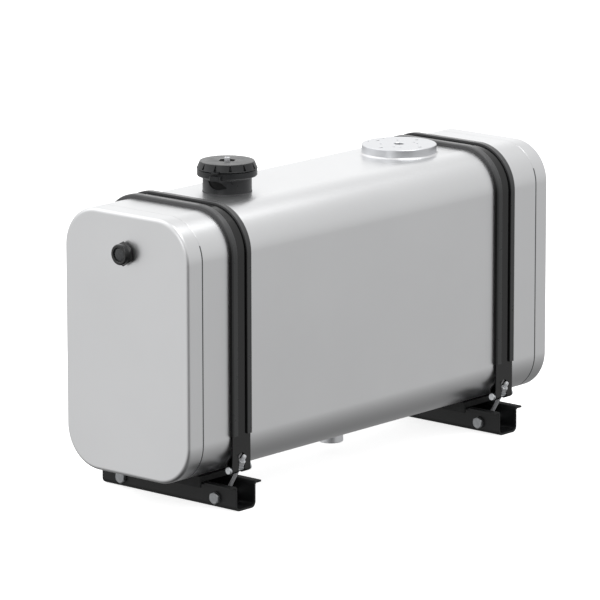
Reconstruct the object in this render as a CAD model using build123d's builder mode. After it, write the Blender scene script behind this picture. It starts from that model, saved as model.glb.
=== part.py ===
from build123d import *
from math import atan2, cos, degrees, hypot, pi, sin
import os

# Hydraulic reservoir: a welded aluminium tank held down by two rubber-lined steel straps on two
# hat-section channels. Millimetres. The origin is the middle of the overall footprint, on the
# underside of the channels. +X runs along the tank away from the sight-glass end, -Y is the front
# and +Z is up.

# ---- driving dimensions -------------------------------------------------------------------------
TANK_LENGTH = 1066
TANK_DEPTH = 315
TANK_HEIGHT = 506
CORNER_R = 80
WALL = 4
END_BAND = 39
END_EDGE_R = 8
SEAM_CHAMFER = 1.6
SIGHT_PROUD = 20

CHANNEL_LENGTH = 344
CHANNEL_WIDTH = 52
CHANNEL_HEIGHT = 50
CHANNEL_SHEET = 4
CHANNEL_FLANGE = 18
CHANNEL_BEND_R = 7
PAD_THICKNESS = 12
STATION = 392

STRAP_WIDTH = 50
STRAP_SHEET = 2
LINER_BASE = 2.5
LINER_TOTAL = 8.5
LINER_WIDTH = 54

CROSS_BOLT_R = 7
CROSS_BOLT_Y = 121
CROSS_BOLT_Z = 20
PIN_R = 6
PIN_HEIGHT = 77.5
ROD_R = 4
ROD_LENGTH = 98
THREAD_PITCH = 1.25

FILLER_OFFSET = -249
RETURN_OFFSET = 258
BOSS_OFFSET = 52

# ---- places worked out from them ----------------------------------------------------------------
TANK_X = SIGHT_PROUD / 2
TANK_BOTTOM = CHANNEL_HEIGHT + PAD_THICKNESS
TANK_Z = TANK_BOTTOM + TANK_HEIGHT / 2
TANK_TOP = TANK_BOTTOM + TANK_HEIGHT
HALF_LENGTH = TANK_LENGTH / 2
SHELL_HALF = HALF_LENGTH - END_BAND
FRONT = TANK_DEPTH / 2
FILLER_X = TANK_X + FILLER_OFFSET
RETURN_X = TANK_X + RETURN_OFFSET
BOSS_X = TANK_X + BOSS_OFFSET
NEAR_FACE_X = TANK_X - HALF_LENGTH
STRAP_Y = FRONT + LINER_BASE + STRAP_SHEET / 2
LOOP_R = PIN_R + 0.05 + STRAP_SHEET / 2
PIN_Y = STRAP_Y - LOOP_R
ROD_RUN = hypot(PIN_Y - CROSS_BOLT_Y, PIN_HEIGHT - CROSS_BOLT_Z)
ROD_OUT = (PIN_Y - CROSS_BOLT_Y) / ROD_RUN
ROD_UP = (PIN_HEIGHT - CROSS_BOLT_Z) / ROD_RUN
STATIONS = (("near", TANK_X - STATION), ("far", TANK_X + STATION))
SIDES = (("front", -1), ("rear", 1))

os.makedirs("parts", exist_ok=True)


def save(piece, label):
    """Name a finished piece and write it to its own STEP file."""
    piece.part.label = label
    export_step(piece.part, f"parts/{label}.step")


def tank_plane(x):
    """A plane across the tank at x from its middle, its own x along +Y and its normal along +X."""
    return Plane(origin=(TANK_X + x, 0, TANK_Z), x_dir=(0, 1, 0), z_dir=(1, 0, 0))


def station_plane(x):
    """A plane across the object at x, at floor height, its own x along +Y and its normal along +X."""
    return Plane(origin=(x, 0, 0), x_dir=(0, 1, 0), z_dir=(1, 0, 0))


def rod_plane(x, side, along):
    """A plane square to a tension rod, `along` millimetres from the middle of its eye."""
    place = (x, side * (CROSS_BOLT_Y + ROD_OUT * along), CROSS_BOLT_Z + ROD_UP * along)
    return Plane(origin=place, x_dir=(1, 0, 0), z_dir=(0, side * ROD_OUT, ROD_UP))


# ---- tank ---------------------------------------------------------------------------------------
FILLER_HOLE_R = 36
RETURN_HOLE_R = 10
BOSS_R = 24.5
SCREW_CIRCLE_R = 40.3
SCREW_COUNT = 6
SCREW_R = 2
WELD_GAP = 0.2

with BuildPart() as tank_shell:
    with BuildSketch(tank_plane(-SHELL_HALF)):
        RectangleRounded(TANK_DEPTH, TANK_HEIGHT, CORNER_R)
    extrude(amount=2 * SHELL_HALF)
    for end in (0, -1):
        chamfer(tank_shell.faces().sort_by(Axis.X)[end].edges(), SEAM_CHAMFER)
    with BuildSketch(tank_plane(-SHELL_HALF)):
        RectangleRounded(TANK_DEPTH - 2 * WALL, TANK_HEIGHT - 2 * WALL, CORNER_R - WALL)
    extrude(amount=2 * SHELL_HALF, mode=Mode.SUBTRACT)
    with BuildSketch(Plane.XY.offset(TANK_TOP + 1)):
        with Locations((FILLER_X, 0)):
            Circle(FILLER_HOLE_R)
            with PolarLocations(SCREW_CIRCLE_R, SCREW_COUNT):
                Circle(SCREW_R + 0.3)
        with Locations((RETURN_X, 0)):
            Circle(RETURN_HOLE_R)
    extrude(amount=-WALL - 2, mode=Mode.SUBTRACT)
    with BuildSketch(Plane.XY.offset(TANK_BOTTOM - 1)):
        with Locations((BOSS_X, 0)):
            Circle(BOSS_R + WELD_GAP)
    extrude(amount=WALL + 2, mode=Mode.SUBTRACT)

# The shell is written as its two flat sheets and its two rolled walls, front and rear.
flat_half = FRONT - CORNER_R
SHELL_PARTS = (
    ("flat_sheets", -flat_half, flat_half),
    ("front_wrapper", -FRONT, -flat_half),
    ("rear_wrapper", flat_half, FRONT),
)
for name, low, high in SHELL_PARTS:
    with BuildPart() as shell_part:
        add(tank_shell.part)
        with BuildSketch(tank_plane(-SHELL_HALF)):
            with Locations(((low + high) / 2, 0)):
                Rectangle(high - low, TANK_HEIGHT)
        extrude(amount=2 * SHELL_HALF, mode=Mode.INTERSECT)
    save(shell_part, name)

SIGHT_Z = TANK_Z + 177
SIGHT_THREAD_R = 13

for name, side in (("near", -1), ("far", 1)):
    with BuildPart() as end_cap:
        with BuildSketch(tank_plane(side * SHELL_HALF)):
            RectangleRounded(TANK_DEPTH, TANK_HEIGHT, CORNER_R)
        extrude(amount=side * END_BAND)
        fillet(end_cap.faces().sort_by(Axis.X)[-1 if side > 0 else 0].edges(), END_EDGE_R)
        chamfer(end_cap.faces().sort_by(Axis.X)[0 if side > 0 else -1].edges(), SEAM_CHAMFER)
        with BuildSketch(tank_plane(side * SHELL_HALF)):
            RectangleRounded(TANK_DEPTH - 2 * WALL, TANK_HEIGHT - 2 * WALL, CORNER_R - WALL)
        extrude(amount=side * (END_BAND - WALL), mode=Mode.SUBTRACT)
        if side < 0:
            with BuildSketch(station_plane(NEAR_FACE_X - 1)):
                with Locations((0, SIGHT_Z)):
                    Circle(SIGHT_THREAD_R + 0.3)
            extrude(amount=WALL + 2, mode=Mode.SUBTRACT)
    save(end_cap, f"{name}_end_cap")

# Two surge baffles, each with two big oil holes, scallops at the corners and two slots.
BAFFLE_SHEET = 3
BAFFLE_X = 178
BAFFLE_HOLE_R = 60
BAFFLE_HOLE_Z = 110
SCALLOP_R = 58
with BuildPart() as baffles:
    for side in (-1, 1):
        with BuildSketch(tank_plane(side * BAFFLE_X - BAFFLE_SHEET / 2)):
            inset = WALL + WELD_GAP
            RectangleRounded(TANK_DEPTH - 2 * inset, TANK_HEIGHT - 2 * inset, CORNER_R - inset)
            with GridLocations(TANK_DEPTH - 2 * inset, TANK_HEIGHT - 2 * inset, 2, 2):
                Circle(SCALLOP_R, mode=Mode.SUBTRACT)
            with GridLocations(0, 2 * BAFFLE_HOLE_Z, 1, 2):
                Circle(BAFFLE_HOLE_R, mode=Mode.SUBTRACT)
            with GridLocations(110, 0, 2, 1):
                SlotOverall(90, 30, rotation=90, mode=Mode.SUBTRACT)
        extrude(amount=BAFFLE_SHEET)
save(baffles, "baffles")

# ---- filler -------------------------------------------------------------------------------------
NECK_R = 47
NECK_INNER_R = 44.3
NECK_HOLE_R = 34
NECK_FLOOR = 5
GASKET = 1.5
COLLAR_R = 57.5
COLLAR_LOW = TANK_TOP + 29
COLLAR_TOP = TANK_TOP + 44
NECK_BASE = TANK_TOP + GASKET
LIP_INNER_R = 39.5
LIP_LOW = COLLAR_TOP - 8
LIP_HEIGHT = 3
LIP_GAP = 74
LUG_ANGLE = -159
CAP_TOP = TANK_TOP + 59
CAP_RIM_R = 58
CAP_TOP_R = 51.5

with BuildPart() as filler_ring:
    RING_PLANE = Plane((FILLER_X, 0, TANK_TOP - WALL - 7))
    with BuildSketch(RING_PLANE):
        Circle(50)
        Circle(35, mode=Mode.SUBTRACT)
        with PolarLocations(SCREW_CIRCLE_R, SCREW_COUNT):
            Circle(SCREW_R + 0.1, mode=Mode.SUBTRACT)
    extrude(amount=7)
save(filler_ring, "filler_ring")

with BuildPart() as neck_gasket:
    with BuildSketch(Plane((FILLER_X, 0, TANK_TOP))):
        Circle(NECK_R + 0.6)
        Circle(FILLER_HOLE_R, mode=Mode.SUBTRACT)
        with PolarLocations(SCREW_CIRCLE_R, SCREW_COUNT):
            Circle(SCREW_R + 0.3, mode=Mode.SUBTRACT)
    extrude(amount=GASKET)
save(neck_gasket, "neck_gasket")

with BuildPart() as filler_neck:
    with BuildSketch(Plane((FILLER_X, 0, 0), x_dir=(1, 0, 0), z_dir=(0, -1, 0))):
        with BuildLine():
            Polyline(
                (NECK_HOLE_R, NECK_BASE),
                (NECK_R, NECK_BASE),
                (NECK_R, COLLAR_LOW - 2),
                (COLLAR_R, COLLAR_LOW + 2),
                (COLLAR_R, COLLAR_TOP),
                (NECK_INNER_R, COLLAR_TOP),
                (NECK_INNER_R, NECK_BASE + NECK_FLOOR),
                (NECK_HOLE_R, NECK_BASE + NECK_FLOOR),
                close=True,
            )
        make_face()
    revolve(axis=Axis((FILLER_X, 0, 0), (0, 0, 1)))
    # Two bayonet lips inside the mouth, with a gap at each side for the ears to drop through.
    with BuildSketch(Plane((FILLER_X, 0, LIP_LOW))):
        Circle(NECK_INNER_R + 1)
        Circle(LIP_INNER_R, mode=Mode.SUBTRACT)
        for turn in (0, 180):
            with BuildLine():
                half = LIP_GAP / 2
                reach = NECK_R + 3
                edge = [(reach * cos((turn + a) * pi / 180), reach * sin((turn + a) * pi / 180))
                        for a in (-half, half)]
                Polyline((0, 0), edge[0], edge[1], close=True)
            make_face(mode=Mode.SUBTRACT)
    extrude(amount=LIP_HEIGHT)
    # Padlock lug on the collar.
    with BuildSketch(Plane((FILLER_X, 0, COLLAR_LOW + 2)).rotated((0, 0, LUG_ANGLE))):
        with Locations((COLLAR_R + 2, 0)):
            RectangleRounded(20, 22, 4)
        with Locations((COLLAR_R + 6, 0)):
            Circle(2.6, mode=Mode.SUBTRACT)
        Circle(COLLAR_R - 2, mode=Mode.SUBTRACT)
    extrude(amount=5)
    with BuildSketch(Plane((FILLER_X, 0, NECK_BASE + NECK_FLOOR))):
        with PolarLocations(SCREW_CIRCLE_R, SCREW_COUNT):
            Circle(SCREW_R + 0.3)
    extrude(amount=-NECK_FLOOR, mode=Mode.SUBTRACT)
save(filler_neck, "filler_neck")

with BuildPart() as one_screw:
    with BuildSketch(Plane((FILLER_X, 0, NECK_BASE + NECK_FLOOR))):
        with Locations((SCREW_CIRCLE_R, 0)):
            Circle(3.6)
    extrude(amount=2.4)
    fillet(one_screw.faces().sort_by(Axis.Z)[-1].edges(), 1)
    with BuildSketch(Plane((FILLER_X, 0, NECK_BASE + NECK_FLOOR + 2.4))):
        with Locations((SCREW_CIRCLE_R, 0)):
            RegularPolygon(1.4, 6)
    extrude(amount=-1.4, mode=Mode.SUBTRACT)
    with BuildSketch(Plane((FILLER_X, 0, NECK_BASE + NECK_FLOOR))):
        with Locations((SCREW_CIRCLE_R, 0)):
            Circle(SCREW_R)
    extrude(amount=-17)
with BuildPart() as neck_screws:
    for place in range(SCREW_COUNT):
        add(one_screw.part.rotate(Axis((FILLER_X, 0, 0), (0, 0, 1)), place * 360 / SCREW_COUNT))
save(neck_screws, "neck_screws")

# Strainer basket: a rim on the neck's floor and a thin cup, its mesh windows sunk in the wall.
BASKET_R = 33
BASKET_WALL = 1.5
BASKET_DEPTH = 116
BASKET_TOP = NECK_BASE + NECK_FLOOR
BASKET_RIM_R = 36.2
BASKET_RIM = 2
WINDOW_ROWS = 3
WINDOW_PITCH = 33
WINDOW_HEIGHT = 27
WINDOW_WIDTH = 12
WINDOW_SUNK = 0.7
with BuildPart() as strainer_basket:
    with BuildSketch(Plane((FILLER_X, 0, BASKET_TOP - BASKET_DEPTH))):
        Circle(BASKET_R)
    extrude(amount=BASKET_DEPTH)
    with BuildSketch(Plane((FILLER_X, 0, BASKET_TOP))):
        Circle(BASKET_RIM_R)
    extrude(amount=BASKET_RIM)
    with BuildSketch(Plane((FILLER_X, 0, BASKET_TOP - BASKET_DEPTH + BASKET_WALL))):
        Circle(BASKET_R - BASKET_WALL)
    extrude(amount=BASKET_DEPTH + BASKET_RIM, mode=Mode.SUBTRACT)
    for row in range(WINDOW_ROWS):
        low = BASKET_TOP - BASKET_DEPTH + 12 + row * WINDOW_PITCH
        with BuildSketch(Plane((FILLER_X, 0, low))):
            for turn in range(0, 180, 30):
                Rectangle(2 * BASKET_R + 4, WINDOW_WIDTH, rotation=turn)
            Circle(BASKET_R - WINDOW_SUNK, mode=Mode.SUBTRACT)
        extrude(amount=WINDOW_HEIGHT, mode=Mode.SUBTRACT)
save(strainer_basket, "strainer_basket")

# ---- filler cap ---------------------------------------------------------------------------------
CAP_GAP = 0.3
CAP_SKIN = 4
NOTCH_COUNT = 12
NOTCH_FOOT = 4.8
NOTCH_TIP = 2
TAB_ANGLE = LUG_ANGLE
WELL_R = 17
WELL_DEPTH = 2.6
NOTCH_START = -132
BOSS_LOW = LIP_LOW - 0.6
EAR_SHEET = 2.5
EAR_R = 43.5

with BuildPart() as filler_cap:
    with BuildSketch(Plane((FILLER_X, 0, 0), x_dir=(1, 0, 0), z_dir=(0, -1, 0))):
        with BuildLine():
            low = COLLAR_TOP + CAP_GAP
            Polyline(
                (0, BOSS_LOW),
                (9, BOSS_LOW),
                (9, CAP_TOP - CAP_SKIN - 1),
                (54, CAP_TOP - CAP_SKIN - 1),
                (54, low),
                (CAP_RIM_R, low),
                (CAP_RIM_R, low + 1.4),
                (CAP_TOP_R + 1, CAP_TOP - 1.2),
                (CAP_TOP_R - 1, CAP_TOP),
                (0, CAP_TOP),
                close=True,
            )
        make_face()
    revolve(axis=Axis((FILLER_X, 0, 0), (0, 0, 1)))
    # Grip notches, wider at the foot, cut down the bevel.
    for place in range(NOTCH_COUNT):
        turn = NOTCH_START + place * 360 / NOTCH_COUNT
        with BuildSketch(Plane((FILLER_X, 0, COLLAR_TOP + 2.4)).rotated((0, 0, turn))):
            with Locations((CAP_RIM_R - 0.5, 0)):
                Rectangle(5, NOTCH_FOOT)
        with BuildSketch(Plane((FILLER_X, 0, CAP_TOP - 2)).rotated((0, 0, turn))):
            with Locations((CAP_RIM_R - 4.2, 0)):
                Rectangle(5, NOTCH_TIP)
        loft(mode=Mode.SUBTRACT)
    # Hexagonal well round the centre screw.
    with BuildSketch(Plane((FILLER_X, 0, CAP_TOP))):
        RegularPolygon(WELL_R, 6)
    extrude(amount=-WELL_DEPTH, taper=20, mode=Mode.SUBTRACT)
    with BuildSketch(Plane((FILLER_X, 0, CAP_TOP))):
        Circle(3.2)
    extrude(amount=-40, mode=Mode.SUBTRACT)
    # Padlock tab over the lug.
    with BuildSketch(Plane((FILLER_X, 0, COLLAR_TOP + CAP_GAP)).rotated((0, 0, TAB_ANGLE))):
        with Locations((CAP_RIM_R + 1, 0)):
            RectangleRounded(16, 14, 3)
        with Locations((COLLAR_R + 6, 0)):
            Circle(2.6, mode=Mode.SUBTRACT)
        Circle(CAP_RIM_R - 2, mode=Mode.SUBTRACT)
    extrude(amount=3)
save(filler_cap, "filler_cap")

with BuildPart() as cap_gasket:
    with BuildSketch(Plane((FILLER_X, 0, COLLAR_TOP + 0.1))):
        Circle(53)
        Circle(45, mode=Mode.SUBTRACT)
    extrude(amount=3)
save(cap_gasket, "cap_gasket")

with BuildPart() as breather_element:
    with BuildSketch(Plane((FILLER_X, 0, COLLAR_TOP + 3.1))):
        Circle(52)
        Circle(9.5, mode=Mode.SUBTRACT)
    extrude(amount=CAP_TOP - CAP_SKIN - 1 - COLLAR_TOP - 3.1)
save(breather_element, "breather_element")

with BuildPart() as latch_plate:
    with BuildSketch(Plane((FILLER_X, 0, BOSS_LOW - EAR_SHEET))):
        Circle(22)
        for turn in (0, 180):
            with BuildLine():
                edge = [(EAR_R * cos((turn + a) * pi / 180), EAR_R * sin((turn + a) * pi / 180))
                        for a in (-27, 27)]
                tip = (EAR_R * cos(turn * pi / 180), EAR_R * sin(turn * pi / 180))
                Line((0, 0), edge[0])
                ThreePointArc(edge[0], tip, edge[1])
                Line(edge[1], (0, 0))
            make_face()
        Circle(3.2, mode=Mode.SUBTRACT)
    extrude(amount=EAR_SHEET)
save(latch_plate, "latch_plate")

SCREW_SEAT = CAP_TOP - WELL_DEPTH
SCREW_HEAD_R = 5.6
SCREW_HEAD = 9
with BuildPart() as cap_screw:
    with BuildSketch(Plane((FILLER_X, 0, SCREW_SEAT))):
        Circle(SCREW_HEAD_R)
    extrude(amount=SCREW_HEAD)
    fillet(cap_screw.faces().sort_by(Axis.Z)[-1].edges(), 2)
    with BuildSketch(Plane((FILLER_X, 0, SCREW_SEAT + SCREW_HEAD))):
        RegularPolygon(2.8, 6)
    extrude(amount=-3.5, mode=Mode.SUBTRACT)
    with BuildSketch(Plane((FILLER_X, 0, SCREW_SEAT))):
        Circle(3)
    extrude(amount=-(SCREW_SEAT - BOSS_LOW + EAR_SHEET + 7))
save(cap_screw, "cap_screw")

with BuildPart() as cap_nut:
    with BuildSketch(Plane((FILLER_X, 0, BOSS_LOW - EAR_SHEET - 5))):
        RegularPolygon(5, 6, major_radius=False)
        Circle(3.1, mode=Mode.SUBTRACT)
    extrude(amount=5)
save(cap_nut, "cap_nut")

# ---- return flange and suction boss -------------------------------------------------------------
RETURN_R = 74
RETURN_THICKNESS = 18
with BuildPart() as return_flange:
    with BuildSketch(Plane((RETURN_X, 0, TANK_TOP))):
        Circle(RETURN_R)
    extrude(amount=RETURN_THICKNESS)
    chamfer(return_flange.edges().filter_by(GeomType.CIRCLE), 0.8)
    with BuildSketch(Plane((RETURN_X, 0, TANK_TOP + RETURN_THICKNESS))):
        Circle(RETURN_HOLE_R)
    extrude(amount=-RETURN_THICKNESS, mode=Mode.SUBTRACT)
    # Tapped blind holes: two circles of four, and two pairs.
    with BuildSketch(Plane((RETURN_X, 0, TANK_TOP + RETURN_THICKNESS))):
        with PolarLocations(54, 4):
            Circle(3.4)
        with PolarLocations(36, 4, start_angle=45):
            Circle(2.5)
        with Locations((-31, -13), (31, -13), (-23, 60), (23, 60)):
            Circle(2.5)
    extrude(amount=-15, mode=Mode.SUBTRACT)
save(return_flange, "return_flange")

with BuildPart() as return_weld:
    with BuildSketch(Plane((RETURN_X, 0, 0), x_dir=(1, 0, 0), z_dir=(0, -1, 0))):
        with BuildLine():
            Line((RETURN_R + 0.1, TANK_TOP), (RETURN_R + 3.6, TANK_TOP))
            ThreePointArc(
                (RETURN_R + 3.6, TANK_TOP),
                (RETURN_R + 2.2, TANK_TOP + 2.1),
                (RETURN_R + 0.1, TANK_TOP + 3.4),
            )
            Line((RETURN_R + 0.1, TANK_TOP + 3.4), (RETURN_R + 0.1, TANK_TOP))
        make_face()
    revolve(axis=Axis((RETURN_X, 0, 0), (0, 0, 1)))
save(return_weld, "return_weld")

BOSS_DROP = 40
BOSS_BORE_R = 19.5
with BuildPart() as suction_boss:
    with BuildSketch(Plane((BOSS_X, 0, TANK_BOTTOM - BOSS_DROP))):
        Circle(BOSS_R)
        Circle(BOSS_BORE_R, mode=Mode.SUBTRACT)
    extrude(amount=BOSS_DROP + WALL + 3)
    chamfer(suction_boss.edges().sort_by(Axis.Z)[0:2], 0.8)
save(suction_boss, "suction_boss")

# ---- sight glass --------------------------------------------------------------------------------
SIGHT_R = 20
with BuildPart() as sight_socket:
    with BuildSketch(station_plane(NEAR_FACE_X + WALL)):
        with Locations((0, SIGHT_Z)):
            Circle(22)
            Circle(SIGHT_THREAD_R + 0.1, mode=Mode.SUBTRACT)
    extrude(amount=14)
save(sight_socket, "sight_socket")

with BuildPart() as sight_body:
    with BuildSketch(station_plane(NEAR_FACE_X - 2)):
        with Locations((0, SIGHT_Z)):
            RegularPolygon(20.5, 6, major_radius=False)
    extrude(amount=-9)
    chamfer(sight_body.faces().sort_by(Axis.X)[-1].edges(), 0.6)
    with BuildSketch(station_plane(NEAR_FACE_X - 11)):
        with Locations((0, SIGHT_Z)):
            Circle(SIGHT_R)
    extrude(amount=-(SIGHT_PROUD - 11))
    fillet(sight_body.faces().sort_by(Axis.X)[0].edges(), 2.5)
    with BuildSketch(station_plane(NEAR_FACE_X - 2)):
        with Locations((0, SIGHT_Z)):
            Circle(SIGHT_THREAD_R)
    extrude(amount=WALL + 16)
    with BuildSketch(station_plane(NEAR_FACE_X - SIGHT_PROUD)):
        with Locations((0, SIGHT_Z)):
            Circle(13)
    extrude(amount=6, mode=Mode.SUBTRACT)
    with BuildSketch(station_plane(NEAR_FACE_X - SIGHT_PROUD)):
        with Locations((0, SIGHT_Z)):
            Circle(9)
    extrude(amount=SIGHT_PROUD + WALL + 16, mode=Mode.SUBTRACT)
save(sight_body, "sight_body")

with BuildPart() as sight_lens:
    with BuildSketch(station_plane(NEAR_FACE_X - SIGHT_PROUD + 1.5)):
        with Locations((0, SIGHT_Z)):
            Circle(12.9)
    extrude(amount=4.5)
    fillet(sight_lens.faces().sort_by(Axis.X)[0].edges(), 1.2)
save(sight_lens, "sight_lens")

with BuildPart() as sight_reflector:
    with BuildSketch(station_plane(NEAR_FACE_X - SIGHT_PROUD + 8)):
        with Locations((0, SIGHT_Z)):
            Circle(8.8)
            with GridLocations(9, 0, 2, 1):
                Circle(2, mode=Mode.SUBTRACT)
    extrude(amount=1)
save(sight_reflector, "sight_reflector")

with BuildPart() as sight_seal:
    with BuildSketch(station_plane(NEAR_FACE_X - 2)):
        with Locations((0, SIGHT_Z)):
            Circle(18)
            Circle(SIGHT_THREAD_R + 0.3, mode=Mode.SUBTRACT)
    extrude(amount=2)
save(sight_seal, "sight_seal")

# ---- strap stations: channel, pad, liner, strap, pins, rods and bolts ---------------------------
WALL_X = CHANNEL_WIDTH / 2 - CHANNEL_SHEET / 2
FLANGE_X = CHANNEL_WIDTH / 2 + CHANNEL_FLANGE
CHASSIS_HOLE_Y = 60
CHASSIS_HOLE_R = 6.5
PAD_SKIRT = 5
PAD_CLEAR = 2
PAD_LENGTH = 204
LINER_END = TANK_BOTTOM + CORNER_R + 2
LINER_GAP = 26
SLOT_WIDTH = 17
SLOT_TOP = 109.5
BOLT_HEAD_FLAT_R = 11
BOLT_HEAD_HEIGHT = 8.8
EYE_R = 13
EYE_WIDTH = 12
PIN_SEAT = 5
WASHER_HEIGHT = 1.6
NUT_HEIGHT = 6.5
NUT_FLAT_R = 6.5


def band(inner, outer):
    """The tank's outline grown by `inner` to `outer`, drawn in the open sketch."""
    RectangleRounded(TANK_DEPTH + 2 * outer, TANK_HEIGHT + 2 * outer, CORNER_R + outer)
    RectangleRounded(TANK_DEPTH + 2 * inner, TANK_HEIGHT + 2 * inner, CORNER_R + inner, mode=Mode.SUBTRACT)
    with Locations((0, LINER_END - TANK_Z - TANK_HEIGHT / 2)):
        Rectangle(2 * TANK_DEPTH, TANK_HEIGHT, mode=Mode.SUBTRACT)


for name, x in STATIONS:
    with BuildPart() as channel:
        with BuildSketch(Plane.XZ.offset(CHANNEL_LENGTH / 2)):
            with BuildLine():
                top = CHANNEL_HEIGHT - CHANNEL_SHEET / 2
                low = CHANNEL_SHEET / 2
                FilletPolyline(
                    (x - FLANGE_X, top),
                    (x - WALL_X, top),
                    (x - WALL_X, low),
                    (x + WALL_X, low),
                    (x + WALL_X, top),
                    (x + FLANGE_X, top),
                    radius=CHANNEL_BEND_R,
                )
            trace(line_width=CHANNEL_SHEET)
        extrude(amount=-CHANNEL_LENGTH)
        with BuildSketch(station_plane(x - CHANNEL_WIDTH)):
            with GridLocations(2 * CROSS_BOLT_Y, 0, 2, 1):
                with Locations((0, CROSS_BOLT_Z)):
                    Circle(CROSS_BOLT_R + 0.3)
        extrude(amount=2 * CHANNEL_WIDTH, mode=Mode.SUBTRACT)
        with BuildSketch(Plane((x, 0, -1))):
            with GridLocations(0, 2 * CHASSIS_HOLE_Y, 1, 2):
                Circle(CHASSIS_HOLE_R)
        extrude(amount=CHANNEL_SHEET + 2, mode=Mode.SUBTRACT)
    save(channel, f"{name}_channel")

    with BuildPart() as pad:
        half_width = FLANGE_X + PAD_CLEAR + PAD_SKIRT
        with BuildSketch(Plane((x, 0, CHANNEL_HEIGHT))):
            Rectangle(2 * half_width, PAD_LENGTH)
        extrude(amount=PAD_THICKNESS)
        with BuildSketch(Plane((x, 0, CHANNEL_HEIGHT))):
            with GridLocations(2 * half_width - PAD_SKIRT, 0, 2, 1):
                Rectangle(PAD_SKIRT, PAD_LENGTH)
        extrude(amount=-10)
        outer = pad.edges().filter_by(Axis.Y).group_by(Axis.X)
        fillet(outer[0].sort_by(Axis.Z)[-1:] + outer[-1].sort_by(Axis.Z)[-1:], 2)
    save(pad, f"{name}_pad")

    with BuildPart() as liner:
        with BuildSketch(tank_plane(x - TANK_X - LINER_WIDTH / 2)):
            band(0.15, LINER_TOTAL)
        extrude(amount=LINER_WIDTH)
        slot = STRAP_WIDTH + 0.4
        with BuildSketch(tank_plane(x - TANK_X - slot / 2)):
            band(LINER_BASE - 0.05, LINER_BASE + STRAP_SHEET + 0.1)
        extrude(amount=slot, mode=Mode.SUBTRACT)
        with BuildSketch(tank_plane(x - TANK_X - LINER_GAP / 2)):
            band(LINER_BASE - 0.05, LINER_TOTAL + 1)
        extrude(amount=LINER_GAP, mode=Mode.SUBTRACT)
    save(liner, f"{name}_liner")

    with BuildPart() as strap:
        with BuildSketch(tank_plane(x - TANK_X - STRAP_WIDTH / 2)):
            band(LINER_BASE, LINER_BASE + STRAP_SHEET)
        extrude(amount=STRAP_WIDTH)
        for side_name, side in SIDES:
            with BuildSketch(station_plane(x - STRAP_WIDTH / 2)):
                with Locations((side * STRAP_Y, (LINER_END + PIN_HEIGHT) / 2)):
                    Rectangle(STRAP_SHEET, LINER_END - PIN_HEIGHT)
            extrude(amount=STRAP_WIDTH)
            # The end is rolled round the pin and spot-welded back on itself.
            with BuildSketch(station_plane(x - STRAP_WIDTH / 2)):
                with BuildLine():
                    back = STRAP_Y - 2 * LOOP_R
                    lap = STRAP_Y - STRAP_SHEET
                    FilletPolyline(
                        (side * STRAP_Y, PIN_HEIGHT),
                        (side * STRAP_Y, PIN_HEIGHT - LOOP_R),
                        (side * back, PIN_HEIGHT - LOOP_R),
                        (side * back, PIN_HEIGHT + 14),
                        (side * lap, PIN_HEIGHT + 30),
                        (side * lap, PIN_HEIGHT + 42),
                        radius=[LOOP_R - 0.05, LOOP_R - 0.05, 6, 6],
                    )
                trace(line_width=STRAP_SHEET)
            extrude(amount=STRAP_WIDTH)
            # The window that lets the rod and its nuts through the loop.
            low = PIN_HEIGHT - 12
            with BuildSketch(Plane((x, side * (STRAP_Y + 4), 0), x_dir=(1, 0, 0), z_dir=(0, 1, 0))):
                with Locations((0, -(low + SLOT_TOP) / 2)):
                    RectangleRounded(SLOT_WIDTH, SLOT_TOP - low, SLOT_WIDTH / 2 - 0.1)
                with Locations((0, -(low + 6))):
                    Rectangle(SLOT_WIDTH, 12)
            extrude(amount=-side * 26, mode=Mode.SUBTRACT)
    save(strap, f"{name}_strap")

    for side_name, side in SIDES:
        label = f"{name}_{side_name}"
        y = side * CROSS_BOLT_Y
        pin_end = STRAP_WIDTH / 2 + 1

        with BuildPart() as pin:
            with BuildSketch(station_plane(x - pin_end)):
                with Locations((side * PIN_Y, PIN_HEIGHT)):
                    Circle(PIN_R)
            extrude(amount=2 * pin_end)
            for start, height in ((-pin_end - 4, 4), (pin_end, 4)):
                with BuildSketch(station_plane(x + start)):
                    with Locations((side * PIN_Y, PIN_HEIGHT)):
                        Circle(7.6)
                extrude(amount=height)
            chamfer(pin.faces().sort_by(Axis.X)[0].edges() + pin.faces().sort_by(Axis.X)[-1].edges(), 1)
            with BuildSketch(rod_plane(x, side, ROD_RUN - 20)):
                Circle(ROD_R + 0.1)
            extrude(amount=40, mode=Mode.SUBTRACT)
            with BuildSketch(rod_plane(x, side, ROD_RUN + PIN_SEAT)):
                Circle(8.3)
            extrude(amount=6, mode=Mode.SUBTRACT)
        save(pin, f"{label}_pin")

        with BuildPart() as rod:
            with BuildSketch(station_plane(x - EYE_WIDTH / 2)):
                with Locations((y, CROSS_BOLT_Z)):
                    Circle(EYE_R)
            extrude(amount=EYE_WIDTH)
            with BuildSketch(rod_plane(x, side, 0)):
                Circle(ROD_R)
            extrude(amount=ROD_LENGTH)
            chamfer(rod.faces().sort_by(Axis.Z)[-1].edges(), 1.2)
            with BuildSketch(station_plane(x - EYE_WIDTH)):
                with Locations((y, CROSS_BOLT_Z)):
                    Circle(CROSS_BOLT_R + 0.06)
            extrude(amount=2 * EYE_WIDTH, mode=Mode.SUBTRACT)
        save(rod, f"{label}_rod")

        wall_out = CHANNEL_WIDTH / 2
        with BuildPart() as bolt:
            with BuildSketch(station_plane(x - wall_out - BOLT_HEAD_HEIGHT)):
                with Locations((y, CROSS_BOLT_Z)):
                    RegularPolygon(BOLT_HEAD_FLAT_R, 6, major_radius=False)
            extrude(amount=BOLT_HEAD_HEIGHT)
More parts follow.
